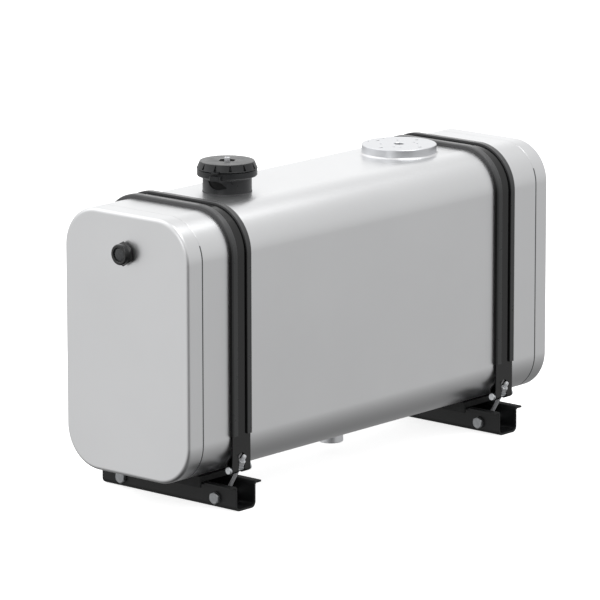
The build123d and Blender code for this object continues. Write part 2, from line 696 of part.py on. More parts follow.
            # The crown of the head is turned down to a circle.
            with BuildSketch(station_plane(x - wall_out - BOLT_HEAD_HEIGHT)):
                with Locations((y, CROSS_BOLT_Z)):
                    Circle(BOLT_HEAD_FLAT_R - 0.4)
            extrude(amount=BOLT_HEAD_HEIGHT, taper=-60, mode=Mode.INTERSECT)
            with BuildSketch(station_plane(x - wall_out)):
                with Locations((y, CROSS_BOLT_Z)):
                    Circle(CROSS_BOLT_R)
            extrude(amount=2 * wall_out + 17)
            chamfer(bolt.faces().sort_by(Axis.X)[-1].edges(), 1.2)
        save(bolt, f"{label}_cross_bolt")

        seat = ROD_RUN + PIN_SEAT
        with BuildPart() as washer:
            with BuildSketch(rod_plane(x, side, seat)):
                Circle(8)
                Circle(ROD_R + 0.3, mode=Mode.SUBTRACT)
            extrude(amount=WASHER_HEIGHT)
        save(washer, f"{label}_washer")

        for nut_name, level in (("tension_nut", 0), ("lock_nut", 1)):
            with BuildPart() as nut:
                start = seat + WASHER_HEIGHT + level * NUT_HEIGHT
                with BuildSketch(rod_plane(x, side, start)):
                    RegularPolygon(NUT_FLAT_R, 6, major_radius=False)
                    Circle(ROD_R + 0.06, mode=Mode.SUBTRACT)
                extrude(amount=NUT_HEIGHT)
            save(nut, f"{label}_{nut_name}")

# ---- grouped hardware on the cross bolts --------------------------------------------------------
SLEEVE_R = 10
SLEEVE_GAP = 0.4
inside = CHANNEL_WIDTH / 2 - CHANNEL_SHEET
sleeve_length = inside - EYE_WIDTH / 2 - 2 * SLEEVE_GAP

with BuildPart() as spacer_sleeves:
    for name, x in STATIONS:
        for side_name, side in SIDES:
            for start in (-inside + SLEEVE_GAP, EYE_WIDTH / 2 + SLEEVE_GAP):
                with BuildSketch(station_plane(x + start)):
                    with Locations((side * CROSS_BOLT_Y, CROSS_BOLT_Z)):
                        Circle(SLEEVE_R)
                        Circle(CROSS_BOLT_R + 0.1, mode=Mode.SUBTRACT)
                extrude(amount=sleeve_length)
save(spacer_sleeves, "spacer_sleeves")

WASHER_SHEET = 2.5
with BuildPart() as cross_bolt_washers:
    for name, x in STATIONS:
        for side_name, side in SIDES:
            with BuildSketch(station_plane(x + CHANNEL_WIDTH / 2)):
                with Locations((side * CROSS_BOLT_Y, CROSS_BOLT_Z)):
                    Circle(14)
                    Circle(CROSS_BOLT_R + 0.3, mode=Mode.SUBTRACT)
            extrude(amount=WASHER_SHEET)
save(cross_bolt_washers, "cross_bolt_washers")

with BuildPart() as cross_bolt_nuts:
    for name, x in STATIONS:
        for side_name, side in SIDES:
            with BuildSketch(station_plane(x + CHANNEL_WIDTH / 2 + WASHER_SHEET)):
                with Locations((side * CROSS_BOLT_Y, CROSS_BOLT_Z)):
                    RegularPolygon(BOLT_HEAD_FLAT_R, 6, major_radius=False)
                    Circle(CROSS_BOLT_R + 0.1, mode=Mode.SUBTRACT)
            extrude(amount=11)
save(cross_bolt_nuts, "cross_bolt_nuts")

lean = degrees(atan2(ROD_OUT, ROD_UP))
print(f"tension rods lean {lean:.1f} degrees, seat at {ROD_RUN + PIN_SEAT:.2f} mm, pin y {PIN_Y:.2f}")
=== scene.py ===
# %% [markdown]
# # A hydraulic oil tank, its two straps and its filler
#
# A truck's oil tank is a plain thing made of good sheet: a rolled aluminium box with round corners,
# held on two steel channels by straps in rubber. The drawing office has already fixed every size,
# so this lesson loads that model as a frame and spends its time on what the eye reads: round edges,
# seams, rubber lips, threads and finishes. Everything is in metres and stays where the frame is.

# %% Load the frame
from math import cos, hypot, pi, radians, sin, tan

import bmesh
import bpy
from mathutils import Matrix, Vector


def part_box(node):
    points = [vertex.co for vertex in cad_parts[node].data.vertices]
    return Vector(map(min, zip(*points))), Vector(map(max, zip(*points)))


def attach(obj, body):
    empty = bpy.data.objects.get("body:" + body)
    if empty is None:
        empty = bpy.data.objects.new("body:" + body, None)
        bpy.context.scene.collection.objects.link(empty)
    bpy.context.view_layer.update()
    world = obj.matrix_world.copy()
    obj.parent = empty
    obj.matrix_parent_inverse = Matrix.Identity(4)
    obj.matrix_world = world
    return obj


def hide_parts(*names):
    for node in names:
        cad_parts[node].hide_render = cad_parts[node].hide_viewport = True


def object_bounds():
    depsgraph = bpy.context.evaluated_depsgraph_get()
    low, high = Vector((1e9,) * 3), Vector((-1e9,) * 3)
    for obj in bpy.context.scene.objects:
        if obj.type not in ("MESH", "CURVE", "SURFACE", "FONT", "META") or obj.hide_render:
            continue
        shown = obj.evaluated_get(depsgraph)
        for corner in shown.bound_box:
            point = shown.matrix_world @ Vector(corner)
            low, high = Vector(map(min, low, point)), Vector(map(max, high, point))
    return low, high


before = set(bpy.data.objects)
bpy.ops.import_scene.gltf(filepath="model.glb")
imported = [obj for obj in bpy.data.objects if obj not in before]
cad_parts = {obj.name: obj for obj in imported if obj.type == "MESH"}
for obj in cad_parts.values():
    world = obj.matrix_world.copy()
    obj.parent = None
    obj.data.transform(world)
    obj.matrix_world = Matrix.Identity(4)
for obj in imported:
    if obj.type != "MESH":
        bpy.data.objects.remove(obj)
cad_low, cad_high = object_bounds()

MM = 0.001
scene = bpy.context.scene

# %% [markdown]
# ## The camera
#
# A long lens flattens perspective, which is how catalogue pictures of such tanks are taken. The
# camera stands ten metres off, to the left of the front and a little above the lid. It could be
# turned by three Euler angles, but a matrix built from the bearing, the rise and the tiny roll keeps
# the reason for each number in sight.

# %% Camera
BEARING = radians(-48.871)
RISE = radians(12.481)
ROLL = radians(-0.084)
STAND = Vector((-7.522, -6.543, 2.522))
FOCAL_MM = 315.2
SENSOR_MM = 36
NEAREST, FARTHEST = 0.5, 60
back = Vector((sin(BEARING) * cos(RISE), -cos(BEARING) * cos(RISE), sin(RISE)))
right = Vector((cos(BEARING), sin(BEARING), 0))
up = back.cross(right)
level_right = right * cos(ROLL) + up * sin(ROLL)
level_up = up * cos(ROLL) - right * sin(ROLL)

lens_data = bpy.data.cameras.new("long_lens")
lens_data.sensor_width = SENSOR_MM
lens_data.lens = FOCAL_MM
lens_data.clip_start = NEAREST
lens_data.clip_end = FARTHEST
camera = bpy.data.objects.new("camera", lens_data)
scene.collection.objects.link(camera)
camera.matrix_world = Matrix((
    (level_right.x, level_up.x, back.x, STAND.x),
    (level_right.y, level_up.y, back.y, STAND.y),
    (level_right.z, level_up.z, back.z, STAND.z),
    (0, 0, 0, 1),
))
scene.camera = camera
print("camera", round((camera.location - (cad_low + cad_high) / 2).length, 2), "m from the tank")

# %% [markdown]
# ## Light for bare metal
#
# Metal has hardly any colour of its own: it shows the room. So the room is painted first, as a sky
# that is dark below and grows brighter with height, with four soft patches laid over it. The top
# sheet, the near end and the edge between them each mirror a bright one, and the upright edge in
# front mirrors a dark one. Lamps could do much of this, but on metal a patch of sky lights the one
# face that mirrors it and leaves the next alone.
# Two weak lamps lift the black pieces. The camera itself sees plain white paper, and the pale floor
# is neither mirrored nor a source of light, or the front sheet would turn white.

# %% Room
world = bpy.data.worlds.new("studio")
scene.world = world
world.use_nodes = True
room = world.node_tree.nodes
wire = world.node_tree.links.new
room.clear()


def room_node(kind, **settings):
    """A node in the room's tree with its settings."""
    node = room.new(kind)
    for name, value in settings.items():
        setattr(node, name, value)
    return node


def glow(direction, start, full, strength):
    """A soft bright patch of the room in one direction."""
    facing = room_node("ShaderNodeVectorMath", operation="DOT_PRODUCT")
    wire(heading.outputs["Generated"], facing.inputs[0])
    facing.inputs[1].default_value = Vector(direction).normalized()
    patch = room_node("ShaderNodeMapRange", interpolation_type="SMOOTHSTEP")
    wire(facing.outputs["Value"], patch.inputs["Value"])
    patch.inputs["From Min"].default_value = start
    patch.inputs["From Max"].default_value = full
    patch.inputs["To Max"].default_value = strength
    return patch.outputs["Result"]


heading = room_node("ShaderNodeTexCoord")
split = room_node("ShaderNodeSeparateXYZ")
wire(heading.outputs["Generated"], split.inputs[0])
height = room_node("ShaderNodeMapRange")
wire(split.outputs["Z"], height.inputs["Value"])
height.inputs["From Min"].default_value = -1
shades = room_node("ShaderNodeValToRGB")
wire(height.outputs["Result"], shades.inputs["Fac"])
# Each pair is a height, from 0 straight down to 1 straight up, and the sky's grey there.
SKY = ((0.0, 0.04), (0.18, 0.3), (0.33, 0.54), (0.39, 0.7), (0.5, 0.82), (0.57, 0.88),
       (0.72, 0.92), (0.82, 1.0), (1.0, 1.05))
# Each patch has its direction, the cosines at which it starts and is full, and its strength.
PATCHES = (
    ((0.72, 0.66, 0.2), 0.8, 1.05, 0.62),
    ((-0.73, 0.65, -0.2), 0.6, 0.97, 0.24),
    ((-0.2, 0.64, 0.73), 0.7, 0.97, 0.8),
    ((-0.64, -0.73, -0.22), 0.75, 1.0, -0.4),
)
PAPER_WHITE = 1.05
ramp = shades.color_ramp
ramp.interpolation = "LINEAR"
while len(ramp.elements) < len(SKY):
    ramp.elements.new(0.5)
for stop, (place, shade) in zip(ramp.elements, SKY):
    stop.position = place
    stop.color = (shade, shade, shade, 1)
total = shades.outputs["Color"]
for patch in PATCHES:
    add = room_node("ShaderNodeMath", operation="ADD")
    wire(total, add.inputs[0])
    wire(glow(*patch), add.inputs[1])
    total = add.outputs["Value"]
sky = room_node("ShaderNodeBackground")
wire(total, sky.inputs["Strength"])
paper = room_node("ShaderNodeBackground")
paper.inputs["Strength"].default_value = PAPER_WHITE
seen = room_node("ShaderNodeLightPath")
mix = room_node("ShaderNodeMixShader")
wire(seen.outputs["Is Camera Ray"], mix.inputs[0])
wire(sky.outputs[0], mix.inputs[1])
wire(paper.outputs[0], mix.inputs[2])
wire(mix.outputs[0], room_node("ShaderNodeOutputWorld").inputs["Surface"])
scene.view_settings.view_transform = "Standard"
print("room: sky of", len(SKY), "shades and", len(PATCHES), "soft patches")

# %% Lamps and floor
# Each lamp has its place, the point it faces, its two sides and its watts.
LAMPS = (
    ("overhead_softbox", (0.5, -0.9, 3.2), (0, 0, 0.4), (3.0, 1.2), 20),
    ("left_fill", (-3.5, -0.6, 1.8), (-0.3, 0, 0.3), (1.5, 1.5), 6),
)
FLOOR_HALF = 25
FLOOR_GAP = 0.5 * MM
FLOOR_GREY = 0.8
for name, place, aim, size, power in LAMPS:
    lamp_data = bpy.data.lights.new(name, "AREA")
    lamp_data.shape = "RECTANGLE"
    lamp_data.size, lamp_data.size_y = size
    lamp_data.energy = power
    lamp = bpy.data.objects.new(name, lamp_data)
    scene.collection.objects.link(lamp)
    lamp.location = place
    lamp.rotation_euler = (Vector(aim) - Vector(place)).to_track_quat("-Z", "Y").to_euler()
    print(name, power, "W")

floor_mesh = bmesh.new()
bmesh.ops.create_grid(floor_mesh, x_segments=1, y_segments=1, size=FLOOR_HALF)
floor_data = bpy.data.meshes.new("floor")
floor_mesh.to_mesh(floor_data)
floor = bpy.data.objects.new("floor", floor_data)
scene.collection.objects.link(floor)
floor.location.z = cad_low.z - FLOOR_GAP
floor.visible_glossy = False
floor.visible_diffuse = False
floor_paint = bpy.data.materials.new("pale_floor")
floor_paint.use_nodes = True
floor_shader = floor_paint.node_tree.nodes["Principled BSDF"]
floor_shader.inputs["Base Color"].default_value = (FLOOR_GREY, FLOOR_GREY, FLOOR_GREY, 1)
floor_shader.inputs["Roughness"].default_value = 1
floor_shader.inputs["Specular IOR Level"].default_value = 0
floor_shader.inputs["Emission Color"].default_value = (1, 1, 1, 1)
floor_shader.inputs["Emission Strength"].default_value = FLOOR_GREY
floor_data.materials.append(floor_paint)

# %% [markdown]
# ## Finishes
#
# Each finish is a few nodes on Object coordinates, so its grain lies still on the piece. One helper
# makes the shader with its steady values set on the sockets. The others add what stops a surface
# looking like paint on a screen: roughness and colour that wander a little, colour that pales with
# height as painted light, and a bump far too small to see one grain at a time.

# %% Helpers for finishes
def finish(name, colour, rough, metal=0.0, **sockets):
    """A material with its steady values on the shader's own sockets."""
    paint = bpy.data.materials.new(name)
    paint.use_nodes = True
    shader = paint.node_tree.nodes["Principled BSDF"]
    shader.inputs["Base Color"].default_value = (*colour, 1)
    shader.inputs["Roughness"].default_value = rough
    shader.inputs["Metallic"].default_value = metal
    for socket, value in sockets.items():
        shader.inputs[socket.replace("_", " ")].default_value = value
    return paint


def grain(paint, stretch, size, detail=4.0):
    """Noise on Object coordinates, `size` grains to the metre, pulled out by `stretch`."""
    nodes, link = paint.node_tree.nodes, paint.node_tree.links.new
    place = nodes.new("ShaderNodeTexCoord")
    pull = nodes.new("ShaderNodeMapping")
    pull.inputs["Scale"].default_value = stretch
    noise = nodes.new("ShaderNodeTexNoise")
    noise.inputs["Scale"].default_value = size
    noise.inputs["Detail"].default_value = detail
    link(place.outputs["Object"], pull.inputs["Vector"])
    link(pull.outputs["Vector"], noise.inputs["Vector"])
    return noise.outputs["Fac"]


NOISE_LOW, NOISE_HIGH = 0.3, 0.7


def spread(paint, value, low, high):
    """The noise value, nearly all of it within its usual range, spread between two numbers."""
    nodes, link = paint.node_tree.nodes, paint.node_tree.links.new
    range_node = nodes.new("ShaderNodeMapRange")
    range_node.inputs["From Min"].default_value = NOISE_LOW
    range_node.inputs["From Max"].default_value = NOISE_HIGH
    range_node.inputs["To Min"].default_value = low
    range_node.inputs["To Max"].default_value = high
    link(value, range_node.inputs["Value"])
    return range_node.outputs["Result"]


def wander(paint, value, low, high):
    """Let the roughness wander between two values with the noise."""
    shader = paint.node_tree.nodes["Principled BSDF"]
    paint.node_tree.links.new(spread(paint, value, low, high), shader.inputs["Roughness"])


def blend_colour(paint, share, dark, light):
    """Colour the shader between two shades by a share from 0 to 1."""
    nodes, link = paint.node_tree.nodes, paint.node_tree.links.new
    blend = nodes.new("ShaderNodeMix")
    blend.data_type = "RGBA"
    blend.inputs["A"].default_value = (*dark, 1)
    blend.inputs["B"].default_value = (*light, 1)
    link(share, blend.inputs["Factor"])
    link(blend.outputs["Result"], nodes["Principled BSDF"].inputs["Base Color"])


def tint(paint, value, dark, light):
    """Let the colour wander between two shades with the noise."""
    blend_colour(paint, spread(paint, value, 0, 1), dark, light)


def paint_light_by_height(paint, low, high, dark, light):
    """Let the colour pale from one height to another, as painted light on the lit top of a piece."""
    nodes, link = paint.node_tree.nodes, paint.node_tree.links.new
    place = nodes.new("ShaderNodeTexCoord")
    split_place = nodes.new("ShaderNodeSeparateXYZ")
    link(place.outputs["Object"], split_place.inputs[0])
    rise = nodes.new("ShaderNodeMapRange")
    rise.interpolation_type = "SMOOTHSTEP"
    link(split_place.outputs["Z"], rise.inputs["Value"])
    rise.inputs["From Min"].default_value = low
    rise.inputs["From Max"].default_value = high
    blend_colour(paint, rise.outputs["Result"], dark, light)


def tooth(paint, value, depth, strength):
    """A fine bump of that depth in metres. A second call is laid over the first."""
    nodes, link = paint.node_tree.nodes, paint.node_tree.links.new
    shader = nodes["Principled BSDF"]
    bump = nodes.new("ShaderNodeBump")
    bump.inputs["Distance"].default_value = depth
    bump.inputs["Strength"].default_value = strength
    if shader.inputs["Normal"].links:
        link(shader.inputs["Normal"].links[0].from_socket, bump.inputs["Normal"])
    link(value, bump.inputs["Height"])
    link(bump.outputs["Normal"], shader.inputs["Normal"])


# %% [markdown]
# The tank's sheet is mill-finished aluminium: rolled along its length, so the grain is long in X and
# short across. The turned fittings are the same metal with a finer, even grain. Small steel pieces
# are zinc plated, brighter on the rods and nuts and duller on the big bolts. The channels are painted
# black and a little orange-peeled, and the straps have a smoother, glossier paint that mirrors the
# sky where it lies flat. The seam grooves get a dull dark finish as painted shade, which fades out
# towards the top where the corners turn over.

# %% Metal finishes
sheet_aluminium = finish("sheet_aluminium", (0.80, 0.81, 0.815), 0.34, 1.0)
rolled = grain(sheet_aluminium, (1, 22, 22), 40)
wander(sheet_aluminium, rolled, 0.31, 0.37)
tint(sheet_aluminium, grain(sheet_aluminium, (1, 1, 1), 5), (0.785, 0.79, 0.798), (0.81, 0.815, 0.823))
tooth(sheet_aluminium, rolled, 0.00002, 0.25)
tooth(sheet_aluminium, grain(sheet_aluminium, (1, 1, 1), 700, 2), 0.000006, 0.15)

bare_inside = finish("bare_inside", (0.55, 0.56, 0.56), 0.5, 1.0)
wander(bare_inside, grain(bare_inside, (1, 1, 1), 90), 0.42, 0.6)

turned_aluminium = finish("turned_aluminium", (0.72, 0.73, 0.75), 0.33, 1.0)
lathe = grain(turned_aluminium, (1, 1, 1), 420, 3)
wander(turned_aluminium, lathe, 0.3, 0.36)
tooth(turned_aluminium, lathe, 0.000003, 0.06)

zinc_steel = finish("zinc_steel", (0.72, 0.74, 0.76), 0.3, 1.0)
spangle = grain(zinc_steel, (1, 1, 1), 260)
wander(zinc_steel, spangle, 0.22, 0.42)
tint(zinc_steel, spangle, (0.60, 0.62, 0.65), (0.80, 0.82, 0.83))

black_paint = finish("black_paint", (0.008, 0.0085, 0.009), 0.4, 0.0, Specular_IOR_Level=0.35)
peel = grain(black_paint, (1, 1, 1), 380, 2)
wander(black_paint, peel, 0.36, 0.5)
tooth(black_paint, peel, 0.00006, 0.25)

strap_paint = finish("strap_paint", (0.004, 0.0042, 0.0044), 0.16, 0.0, Specular_IOR_Level=0.5)
peel = grain(strap_paint, (1, 1, 1), 320, 2)
wander(strap_paint, peel, 0.13, 0.2)
tooth(strap_paint, peel, 0.00001, 0.15)

dull_zinc = finish("dull_zinc", (0.36, 0.37, 0.38), 0.42, 0.8)
wander(dull_zinc, grain(dull_zinc, (1, 1, 1), 240), 0.34, 0.5)
tint(dull_zinc, grain(dull_zinc, (1, 1, 1), 130), (0.32, 0.33, 0.34), (0.4, 0.41, 0.42))

bright_zinc = finish("bright_zinc", (0.72, 0.73, 0.75), 0.35, 0.45)
wander(bright_zinc, grain(bright_zinc, (1, 1, 1), 240), 0.28, 0.44)

# Painted shade: the seam grooves are coloured dark and dull, as shade falls in them.
seam_painted_shade = finish("seam_painted_shade", (0.16, 0.165, 0.17), 0.6, 0.6)
wander(seam_painted_shade, grain(seam_painted_shade, (1, 1, 1), 220), 0.5, 0.7)
print("metal finishes made")

# %% [markdown]
# Rubber and moulded plastic are both nearly black, and told apart by their sheen. Extruded rubber is
# greyer, with faint lines along its length, and painted paler towards the top as painted light.
# Its sides get a darker matt rubber as painted shade, also paled towards the top as painted light,
# and the saddles are matt. Moulded nylon has a fine spark-eroded grain, and the sight glass is
# polished. Sunk places get a darker, flatter nylon as painted shade, because little light finds its way
# in.

# %% Rubber, plastic and glass finishes
# The rubber's colour is painted from shade at the lower height to light at the upper one.
PAINTED_SHADE_Z = cad_high.z - 150 * MM
PAINTED_LIGHT_Z = cad_high.z - 60 * MM
extruded_rubber = finish("extruded_rubber", (0.035, 0.036, 0.037), 0.3, 0.0)
# Painted light: the liners' rubber is coloured paler towards the top, where it is lit.
paint_light_by_height(extruded_rubber, PAINTED_SHADE_Z, PAINTED_LIGHT_Z, (0.036, 0.037, 0.038), (0.085, 0.086, 0.088))
wander(extruded_rubber, grain(extruded_rubber, (1, 1, 1), 60), 0.26, 0.36)
tooth(extruded_rubber, grain(extruded_rubber, (40, 1, 1), 90, 2), 0.00002, 0.12)

# Painted shade: a darker matt rubber for the liners' sides, painted paler towards the top as painted
# light.
matt_rubber_painted_light_and_shade = finish("matt_rubber_painted_light_and_shade", (0.008, 0.008, 0.008), 0.7, 0.0, Specular_IOR_Level=0.25)
tooth(matt_rubber_painted_light_and_shade, grain(matt_rubber_painted_light_and_shade, (1, 1, 1), 500), 0.00004, 0.3)
wander(matt_rubber_painted_light_and_shade, grain(matt_rubber_painted_light_and_shade, (1, 1, 1), 60), 0.62, 0.78)
paint_light_by_height(matt_rubber_painted_light_and_shade, PAINTED_SHADE_Z, PAINTED_LIGHT_Z - 10 * MM, (0.008, 0.008, 0.008), (0.1, 0.1, 0.102))

pad_rubber = finish("pad_rubber", (0.014, 0.0145, 0.015), 0.6, 0.0, Specular_IOR_Level=0.35)
tooth(pad_rubber, grain(pad_rubber, (1, 1, 1), 500), 0.00008, 0.35)
wander(pad_rubber, grain(pad_rubber, (1, 1, 1), 60), 0.58, 0.75)

moulded_nylon = finish("moulded_nylon", (0.014, 0.015, 0.0165), 0.3, 0.0)
spark = grain(moulded_nylon, (1, 1, 1), 1400, 2)
tooth(moulded_nylon, spark, 0.00003, 0.3)
wander(moulded_nylon, grain(moulded_nylon, (1, 1, 1), 45), 0.26, 0.36)

# Painted shade: a darker, flatter nylon for sunk places, where little light gets in.
nylon_painted_shade = finish("nylon_painted_shade", (0.004, 0.0042, 0.0045), 0.5, 0.0, Specular_IOR_Level=0.2)
wander(nylon_painted_shade, grain(nylon_painted_shade, (1, 1, 1), 45), 0.45, 0.6)

gloss_nylon = finish("gloss_nylon", (0.005, 0.0054, 0.0058), 0.1, 0.0, Coat_Weight=0.3,
                     Coat_Roughness=0.05)
wander(gloss_nylon, grain(gloss_nylon, (1, 1, 1), 60), 0.08, 0.14)

strainer_nylon = finish("strainer_nylon", (0.62, 0.60, 0.54), 0.45, 0.0)
tooth(strainer_nylon, grain(strainer_nylon, (1, 1, 1), 900), 0.00003, 0.3)

open_foam = finish("open_foam", (0.05, 0.052, 0.055), 0.95, 0.0)
tooth(open_foam, grain(open_foam, (1, 1, 1), 1500, 3), 0.0006, 0.8)

sight_glass = finish("sight_glass", (0.10, 0.105, 0.11), 0.06, 0.0, Transmission_Weight=0.55, IOR=1.5)
wander(sight_glass, grain(sight_glass, (1, 1, 1), 120), 0.05, 0.09)

white_enamel = finish("white_enamel", (0.85, 0.85, 0.83), 0.3, 0.0)
wander(white_enamel, grain(white_enamel, (1, 1, 1), 200), 0.25, 0.36)
print("rubber, plastic and glass finishes made")

# %% [markdown]
# ## Workshop helpers
#
# A few habits cover the whole tank. A flat outline can be drawn out into a bar, a profile can be
# turned on a lathe, a section can be led along straights and bends like a roll-former does, and a
# hole is one solid taken from another. `place_piece` finishes every piece the same way: a fine
# rounded edge, weighted normals so that big flats stay flat, a body to ride on and a finish. Where
# a piece shows two finishes, `second_finish` then picks faces by where they lie or which way they look.

# %% Outline, lathe and roll-former
def outline(corners, soft=0.0, steps=4):
    """A flat face from its corner points, with its corners rounded to the radius `soft`."""
    bm = bmesh.new()
    bm.faces.new([bm.verts.new(corner) for corner in corners])
    if soft:
        bmesh.ops.bevel(bm, geom=bm.verts[:], offset=soft, offset_type="OFFSET", segments=steps,
                        profile=0.5, affect="VERTICES", material=-1)
    return bm


def rectangle(width, depth, soft=0.0, steps=4):
    """A flat rectangle round the origin."""
    x, y = width / 2, depth / 2
    return outline([(-x, -y, 0), (x, -y, 0), (x, y, 0), (-x, y, 0)], soft, steps)


def draw_out(bm, move):
    """Draw a flat outline out into a solid bar."""
    made = bmesh.ops.extrude_face_region(bm, geom=bm.faces[:])
    moved = [part for part in made["geom"] if isinstance(part, bmesh.types.BMVert)]
    bmesh.ops.translate(bm, verts=moved, vec=Vector(move))
    bmesh.ops.recalc_face_normals(bm, faces=bm.faces[:])
    return bm


def turn(profile, steps=96, closed=False):
    """Turn a profile of (radius, height) points about the vertical axis."""
    bm = bmesh.new()
    points = [bm.verts.new((radius, 0, level)) for radius, level in profile]
    lines = [bm.edges.new(pair) for pair in zip(points, points[1:])]
    if closed:
        lines.append(bm.edges.new((points[-1], points[0])))
    bmesh.ops.spin(bm, geom=points + lines, cent=(0, 0, 0), axis=(0, 0, 1), angle=2 * pi, steps=steps,
                   use_merge=True)
    bmesh.ops.remove_doubles(bm, verts=bm.verts[:], dist=1e-6)
    bmesh.ops.recalc_face_normals(bm, faces=bm.faces[:])
    return bm


def lead(bm, point, heading, moves, axis=Vector((1, 0, 0))):
    """Lead the one flat section along: a number is a straight, (radius, angle) is a bend."""
    face = bm.faces[:][0]
    point, heading = Vector(point), Vector(heading)
    for move in moves:
        if isinstance(move, tuple):
            radius, angle = move
            way = 1 if angle > 0 else -1
            centre = point + axis.cross(heading) * radius * way
            made = bmesh.ops.spin(bm, geom=[face], cent=centre, axis=axis, angle=angle,
                                  steps=max(4, int(abs(angle) * 14)))["geom_last"]
            twist = Matrix.Rotation(angle, 3, axis)
            point = centre + twist @ (point - centre)
            heading = twist @ heading
        else:
            made = bmesh.ops.extrude_face_region(bm, geom=[face])["geom"]
            moved = [part for part in made if isinstance(part, bmesh.types.BMVert)]
            bmesh.ops.translate(bm, verts=moved, vec=heading * move)
            point = point + heading * move
        face = next(part for part in made if isinstance(part, bmesh.types.BMFace))
    return face


# %% Moving, joining and cutting
def shift(bm, matrix):
    """Move a solid by a matrix."""
    bmesh.ops.transform(bm, matrix=matrix, verts=bm.verts[:])
    return bm


def along(origin, direction, spin_to=0.0):
    """The matrix that stands a piece made along Z at a point, along a direction."""
    turned_to = Vector(direction).to_track_quat("Z", "Y").to_matrix().to_4x4()
    return Matrix.Translation(Vector(origin)) @ turned_to @ Matrix.Rotation(spin_to, 4, "Z")


def join(*solids):
    """Put several solids in one mesh."""
    whole = bmesh.new()
    for solid in solids:
        part = bpy.data.meshes.new("part")
        solid.to_mesh(part)
        whole.from_mesh(part)
        bpy.data.meshes.remove(part)
    return whole


def carve(solid, tool, how="DIFFERENCE"):
    """One solid less another or, with INTERSECT, what they share."""
    pair = []
    for shape in (solid, tool):
        data = bpy.data.meshes.new("blank")
        shape.to_mesh(data)
        pair.append(bpy.data.objects.new("blank", data))
        scene.collection.objects.link(pair[-1])
    cutter = pair[0].modifiers.new("carve", "BOOLEAN")
    cutter.object = pair[1]
    cutter.operation = how
    cutter.solver = "EXACT"
    bpy.context.view_layer.update()
    carved = bmesh.new()
    carved.from_object(pair[0], bpy.context.evaluated_depsgraph_get())
    for blank in pair:
        data = blank.data
        bpy.data.objects.remove(blank)
        bpy.data.meshes.remove(data)
    return carved


def rod(radius, length, steps=48):
    """A plain round bar along Z from the origin, mostly used as a cutter."""
    return turn([(0, 0), (radius, 0), (radius, length), (0, length)], steps)


# %% Placing a piece
def place_piece(name, bm, finish_used, body, stands_for=(), edge=0.3 * MM, sharp=32, steps=2):
    """Make the finished object: rounded edges, smooth shading, body and finish."""
    for face in bm.faces:
        face.smooth = True
    for line in bm.edges:
        line.smooth = line.is_manifold and line.calc_face_angle(pi) < radians(sharp)
    data = bpy.data.meshes.new(name)
    bm.to_mesh(data)
    bm.free()
    data.materials.append(finish_used)
    piece = bpy.data.objects.new(name, data)
    scene.collection.objects.link(piece)
    if edge:
        rounding = piece.modifiers.new("fine_edge", "BEVEL")
        rounding.width = edge
        rounding.segments = steps
        rounding.limit_method = "ANGLE"
        rounding.angle_limit = radians(sharp)
        rounding.use_clamp_overlap = True
        rounding.harden_normals = True
    flats = piece.modifiers.new("flats", "WEIGHTED_NORMAL")
    flats.keep_sharp = True
    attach(piece, body)
    if stands_for:
        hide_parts(*stands_for)
    print(f"{name}: {len(data.polygons)} faces")
    return piece


def second_finish(piece, paint, chosen):
    """Give a second finish to the faces of a piece that `chosen` picks."""
    piece.data.materials.append(paint)
    for face in piece.data.polygons:
        if chosen(face):
            face.material_index = 1


# %% [markdown]
# ## The tank
#
# The body is one sheet rolled into a rounded box and welded; the two ends are pressed dishes with a
# turned edge, butted on with a shallow groove left at the seam. A cube with its four long edges
# bevelled gives the box. Its ends are opened and the sheet gets its real thickness inwards, so that
# the filler's hole shows a true edge.

# %% Tank sizes
shell_low, shell_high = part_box("front_wrapper")[0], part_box("rear_wrapper")[1]
CORNER = 80 * MM
SHEET = 4 * MM
END_EDGE = 8 * MM
SEAM = 1.6 * MM
# How far below the top the seam's painted shade stops.
GROOVE_FADE = 48 * MM
FILLER_HOLE_R = 36 * MM
RETURN_HOLE_R = 10 * MM
BOSS_R, BOSS_BORE, BOSS_GAP = 24.5 * MM, 19.5 * MM, 0.2 * MM
print("tank sheet", [round(size, 3) for size in shell_high - shell_low])


def rounded_box(low, high, corner, steps=30):
    """A box whose four edges along X are rounded."""
    bm = bmesh.new()
    bmesh.ops.create_cube(bm, size=1)
    bmesh.ops.scale(bm, vec=high - low, verts=bm.verts[:])
    bmesh.ops.translate(bm, vec=(low + high) / 2, verts=bm.verts[:])
    long_edges = [line for line in bm.edges if abs(line.verts[0].co.x - line.verts[1].co.x) > 1e-4]
    bmesh.ops.bevel(bm, geom=long_edges, offset=corner, offset_type="OFFSET", segments=steps,
                    profile=0.5, affect="EDGES", material=-1)
    return bm


def end_of(bm, side):
    """The flat end face on one side."""
    return max(bm.faces, key=lambda face: side * face.calc_center_median().x)


def dress_end(bm, side, width, steps):
    """Round or chamfer the outline of one end."""
    bmesh.ops.bevel(bm, geom=end_of(bm, side).edges[:], offset=width, offset_type="OFFSET",
                    segments=steps, profile=0.5, affect="EDGES", material=-1)


def give_wall(bm, open_sides):
    """Open the named ends and give the sheet its thickness inwards."""
    for side in open_sides:
        bmesh.ops.delete(bm, geom=[end_of(bm, side)], context="FACES")
    bmesh.ops.recalc_face_normals(bm, faces=bm.faces[:])
    bmesh.ops.solidify(bm, geom=bm.faces[:], thickness=SHEET)
    return bm


# %% Rolled body with its three holes
filler_low, filler_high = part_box("neck_gasket")
return_low, return_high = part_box("return_flange")
boss_low, boss_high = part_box("suction_boss")
filler_x = (filler_low.x + filler_high.x) / 2
return_x = (return_low.x + return_high.x) / 2
boss_x = (boss_low.x + boss_high.x) / 2
tank_top, tank_bottom = shell_high.z, shell_low.z

